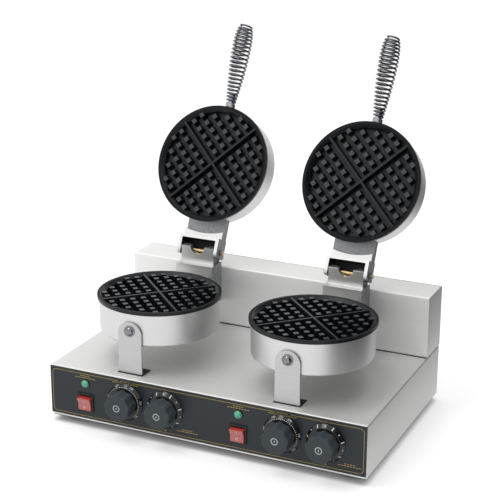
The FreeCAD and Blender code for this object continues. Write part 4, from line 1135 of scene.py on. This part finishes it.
class BAKER_OT_dials(bpy.types.Operator):
    """Thermostat and timer knobs with their printed skirts"""
    bl_idname = "baker.dials"
    bl_label = "Dials"

    def execute(self, context):
        edge = context.scene.baker_edges.moulding
        sizes = context.scene.baker_dials
        for side in SIDES:
            for kind, marks in (("thermostat", thermostat_marks), ("timer", timer_marks)):
                node = side + "_" + kind + "_knob"
                skirt_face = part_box(node)[1].y - sizes.skirt_depth

                def is_grip(centre, normal):
                    return int(centre.y < skirt_face - TOLERANCE)

                grip = dressed(node, ["phenolic_gloss", "phenolic_matt"], edge, is_grip, KNOB_SEGMENTS)
                lower_face(grip, sizes.ink)
                bm = bmesh.new()
                marks(bm, sizes, node)
                face_symbol(bm, sizes, node, kind)
                close_mesh(bm)
                make_piece(bm, node + "_print", body_of(node), ["white_ink"])
        return {"FINISHED"}


# Rocker switches

ROCKER_TILT = math.radians(11)
ROCKER_END = 8.0 * MM
ROCKER_WAIST = 6.0 * MM
ROCKER_HALF = 10.0 * MM
ROCKER_SEGMENTS = 4
MARK_SIZE = 4.0 * MM
MARK_LINE = 0.7 * MM
MARK_INK = 0.12 * MM


def stroke_mark(bm):
    return bar_mark(bm, MARK_LINE, MARK_SIZE, MARK_INK)


def circle_mark(bm):
    return ring_mark(bm, MARK_SIZE / 2, MARK_SIZE / 2 - MARK_LINE, MARK_INK)


class BAKER_OT_switches(bpy.types.Operator):
    """Red rocker switches in black frames"""
    bl_idname = "baker.switches"
    bl_label = "Rocker switches"

    def execute(self, context):
        edges = context.scene.baker_edges
        for side in SIDES:
            dressed(side + "_switch_body", ["black_nylon"], edges.moulding)
            dressed(side + "_rocker", ["red_polycarbonate"], edges.rocker, segments=ROCKER_SEGMENTS)
            self.marks(side)
        return {"FINISHED"}

    def marks(self, side):
        """Stroke on the upper half and ring on the lower half of the waisted face."""
        pivot = Vector(JOINTS[side + "_rocker_tip"]["pos_m"])
        tip = Matrix.Translation(pivot) @ Matrix.Rotation(ROCKER_TILT, 4, "X")
        lean = math.atan2(ROCKER_END - ROCKER_WAIST, ROCKER_HALF)
        bm = bmesh.new()
        for half, make in ((1, stroke_mark), (-1, circle_mark)):
            spot = Vector((0, -(ROCKER_END + ROCKER_WAIST) / 2, half * ROCKER_HALF / 2))
            face = Matrix.Rotation(QUARTER_TURN + half * lean, 4, "X")
            place = tip @ Matrix.Translation(spot) @ face
            put(make(bm), lambda point: place @ point)
        close_mesh(bm)
        node = side + "_rocker"
        make_piece(bm, node + "_marks", body_of(node), ["white_ink"])


# Pilot lamps

# Faces this near the panel belong to a lamp's flange, which is 1.2 mm thick
FLANGE_LIMIT = 1.21 * MM
LAMP_EDGE = 0.3 * MM


class BAKER_OT_lamps(bpy.types.Operator):
    """Green pilot lamps with a dark flange"""
    bl_idname = "baker.lamps"
    bl_label = "Pilot lamps"

    def execute(self, context):
        panel_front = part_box("control_panel")[0].y

        def is_flange(centre, normal):
            return int(centre.y > panel_front - FLANGE_LIMIT)

        for side in SIDES:
            dressed(side + "_pilot_lamp", ["green_lens", "phenolic_gloss"], LAMP_EDGE, is_flange)
        return {"FINISHED"}


# Feet, seals, gland and inner works

BEAD_SIZE = 0.9 * MM
STRAP_THICKNESS = 3.0 * MM
SEAL_LIP = 1.4 * MM
SEAL_FIT = 0.1 * MM
SEAL_REACH = 21.0 * MM
SEAL_THICKNESS = 1.4 * MM
SEAL_EDGE = 0.4 * MM
# Finishes of the nodes inside, by the last word of their names
INNER_FINISHES = {"heater": "heater_sheath", "clamp": "heater_sheath", "thermostat": "plated_case",
                  "timer": "plated_case", "spindle": "bright_zinc"}


def slotted_plate(bm, columns, rows, bottom, thickness):
    """Plate between the outer columns and rows, with a slot between the inner ones."""
    grid = bmesh.ops.create_grid(bm, x_segments=THIRDS, y_segments=THIRDS, size=1)
    for vert in grid["verts"]:
        column = round((vert.co.x + 1) / 2 * THIRDS)
        row = round((vert.co.y + 1) / 2 * THIRDS)
        vert.co = (columns[column], rows[row], bottom)
    cells = linked_faces(grid["verts"])
    slot = Vector(((columns[1] + columns[2]) / 2, (rows[1] + rows[2]) / 2, bottom))
    middle_cell = min(cells, key=lambda face: (face.calc_center_median() - slot).length)
    cells.remove(middle_cell)
    bmesh.ops.delete(bm, geom=[middle_cell], context="FACES_ONLY")
    raised = bmesh.ops.extrude_face_region(bm, geom=cells, use_keep_orig=True)
    bmesh.ops.translate(bm, vec=(0, 0, thickness), verts=of_kind(raised, bmesh.types.BMVert))
    bmesh.ops.recalc_face_normals(bm, faces=bm.faces)


class BAKER_OT_trim(bpy.types.Operator):
    """Feet, seals, cable gland and the works inside"""
    bl_idname = "baker.trim"
    bl_label = "Feet, seals, gland and inner works"

    def execute(self, context):
        edge = context.scene.baker_edges.moulding
        dressed("feet", ["nitrile_rubber"], edge)
        self.strap_seals()
        self.housing_shadow_bead()
        dressed("cable_gland", ["black_nylon"], edge)
        for node, part in frame["nodes"].items():
            kind = node.split("_")[-1]
            if kind in INNER_FINISHES:
                part.data.materials.clear()
                part.data.materials.append(finish(INNER_FINISHES[kind]))
        return {"FINISHED"}

    def strap_seals(self):
        """Rubber plates on the cabinet's top, each with a slot for the strap that goes through it."""
        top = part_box("base_cover")[1].z
        bm = bmesh.new()
        for side in SIDES:
            low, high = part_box(side + "_front_bracket")
            columns = (low.x - SEAL_LIP, low.x - SEAL_FIT, high.x + SEAL_FIT, high.x + SEAL_LIP)
            back = low.y + STRAP_THICKNESS
            rows = (low.y - SEAL_LIP, low.y - SEAL_FIT, back + SEAL_FIT, back + SEAL_REACH)
            slotted_plate(bm, columns, rows, top, SEAL_THICKNESS)
        shade(bm)
        piece = make_piece(bm, "strap_seals", "base", ["nitrile_rubber"])
        soften(piece, SEAL_EDGE)

    def housing_shadow_bead(self):
        """Thin black bead where the rear housing's front stands on the cabinet's top: a dark strip standing
        in for the shadow in the joint, painted shade.
        """
        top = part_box("base_cover")[1].z
        low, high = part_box("rear_housing")
        bm = bmesh.new()
        # A dark bead where there is only a shadow gap: painted shade
        bead = bar_mark(bm, high.x - low.x - 2 * BEAD_SIZE, BEAD_SIZE, BEAD_SIZE)
        place = Vector(((low.x + high.x) / 2, low.y - BEAD_SIZE / 2, top + BEAD_SIZE / 2))
        bmesh.ops.translate(bm, vec=place, verts=bead)
        shade(bm)
        make_piece(bm, "housing_shadow_bead", "base", ["nitrile_rubber"])


# Stage

FLOOR_SIZE = 12.0
CARD_ASIDE = 0.42
CARD_BACK = 0.5
CARD_HEIGHT = 0.7
CARD_WIDTH = 1.8
# Shares of the ambient light at the horizon and overhead, which even out to about 1 on a level floor
HORIZON_SHARE = 0.4
ZENITH_SHARE = 1.3
LIGHT_AIM = Vector((0, 0, 0.2))
KEY_PLACE = (-0.9, -0.6, 2.7)
KEY_SIZE = 1.2
FILL_PLACE = (-0.9, -2.0, 1.6)
FILL_SIZE = 0.9


def stage_sheet(name, place, material):
    """Flat sheet for the stage: a square of 1 m about the origin, taken where place says."""
    bm = bmesh.new()
    bmesh.ops.create_grid(bm, x_segments=1, y_segments=1, size=0.5)
    bmesh.ops.transform(bm, matrix=place, verts=bm.verts)
    return add_mesh(bm, name, [material])


def soft_light(name, place, size, power):
    """Square soft box that looks at the part."""
    light = bpy.data.lights.new(name, "AREA")
    light.size = size
    light.energy = power
    holder = add_object(name, light)
    holder.location = place
    holder.rotation_euler = (LIGHT_AIM - holder.location).to_track_quat("-Z", "Y").to_euler()


class BAKER_OT_stage(bpy.types.Operator):
    """Pale floor, soft light and the camera"""
    bl_idname = "baker.stage"
    bl_label = "Stage"

    def execute(self, context):
        sizes = context.scene.baker_stage
        context.scene.view_settings.view_transform = "Standard"
        floor = stage_sheet("floor", Matrix.Diagonal((FLOOR_SIZE, FLOOR_SIZE, 1, 1)), "white_paper")
        self.dark_card()
        self.world(context, sizes)
        self.camera(context, sizes)
        soft_light("key_light", KEY_PLACE, KEY_SIZE, sizes.key_power)
        soft_light("fill_light", FILL_PLACE, FILL_SIZE, sizes.fill_power)
        return {"FINISHED"}

    def dark_card(self):
        """Grey card that only reflections show, so that metal is darker on its right-hand sides."""
        size = Matrix.Diagonal((CARD_HEIGHT, CARD_WIDTH, 1, 1))
        turn = Matrix.Rotation(-QUARTER_TURN, 4, "Y")
        place = Matrix.Translation((CARD_ASIDE, CARD_BACK, CARD_HEIGHT / 2)) @ turn @ size
        card = stage_sheet("dark_card", place, "grey_card")
        card.visible_camera = False
        card.visible_diffuse = False
        card.visible_shadow = False

    def world(self, context, sizes):
        """White where the camera or a reflection looks, and light on the part that comes more from above."""
        world = bpy.data.worlds.new("studio")
        world.use_nodes = True
        context.scene.world = world
        tree = world.node_tree
        tree.nodes.clear()
        white = add_node(tree, "ShaderNodeBackground", None, {"Color": WHITE, "Strength": 1})
        place = add_node(tree, "ShaderNodeTexCoord").outputs["Object"]
        height = add_node(tree, "ShaderNodeSeparateXYZ", {"Vector": place}).outputs["Z"]
        shares = {"To Min": HORIZON_SHARE * sizes.ambient, "To Max": ZENITH_SHARE * sizes.ambient}
        strength = add_node(tree, "ShaderNodeMapRange", {"Value": height}, shares).outputs["Result"]
        ambient = add_node(tree, "ShaderNodeBackground", {"Strength": strength}, {"Color": WHITE})
        mix = add_node(tree, "ShaderNodeMixShader",
                       {"Fac": seen_ray(tree), 1: ambient.outputs[0], 2: white.outputs[0]})
        add_node(tree, "ShaderNodeOutputWorld", {"Surface": mix.outputs[0]})

    def camera(self, context, sizes):
        turn, look = sizes.azimuth, sizes.elevation
        back = Vector((math.sin(turn) * math.cos(look), -math.cos(turn) * math.cos(look), math.sin(look)))
        right = Vector((math.cos(turn), math.sin(turn), 0))
        axes = Matrix((right, back.cross(right), back)).transposed().to_4x4()
        camera = bpy.data.cameras.new("camera")
        camera.lens = sizes.lens
        holder = add_object("camera", camera)
        holder.matrix_world = Matrix.Translation(sizes.eye) @ axes @ Matrix.Rotation(sizes.roll, 4, "Z")
        context.scene.camera = holder


# Registration and the run

OPERATORS = (BAKER_OT_stage, BAKER_OT_sheet_metal, BAKER_OT_grid_plates, BAKER_OT_castings,
             BAKER_OT_fasteners, BAKER_OT_handles, BAKER_OT_control_panel, BAKER_OT_dials,
             BAKER_OT_switches, BAKER_OT_lamps, BAKER_OT_trim)
SETTINGS = {"baker_edges": EdgeSizes, "baker_coil": CoilSizes, "baker_dials": DialSizes,
            "baker_print": PrintSizes, "baker_stage": StageSizes}


class BAKER_PT_panel(bpy.types.Panel):
    """Lists the steps that build the part's looks"""
    bl_idname = "BAKER_PT_panel"
    bl_label = "Waffle Baker"
    bl_space_type = "VIEW_3D"
    bl_region_type = "UI"
    bl_category = "Waffle Baker"

    def draw(self, context):
        for operator in OPERATORS:
            self.layout.operator(operator.bl_idname)
        for setting, group in SETTINGS.items():
            box = self.layout.box()
            for name in group.__annotations__:
                box.prop(getattr(context.scene, setting), name)


def register():
    for setting, group in SETTINGS.items():
        bpy.utils.register_class(group)
        setattr(bpy.types.Scene, setting, bpy.props.PointerProperty(type=group))
    for operator in OPERATORS:
        bpy.utils.register_class(operator)
    bpy.utils.register_class(BAKER_PT_panel)


def unregister():
    bpy.utils.unregister_class(BAKER_PT_panel)
    for operator in reversed(OPERATORS):
        bpy.utils.unregister_class(operator)
    for setting, group in SETTINGS.items():
        delattr(bpy.types.Scene, setting)
        bpy.utils.unregister_class(group)


def main():
    register()
    bpy.ops.baker.stage()
    bpy.ops.baker.sheet_metal()
    bpy.ops.baker.grid_plates()
    bpy.ops.baker.castings()
    bpy.ops.baker.fasteners()
    bpy.ops.baker.handles()
    bpy.ops.baker.control_panel()
    bpy.ops.baker.dials()
    bpy.ops.baker.switches()
    bpy.ops.baker.lamps()
    bpy.ops.baker.trim()


if __name__ == "__main__":
    main()
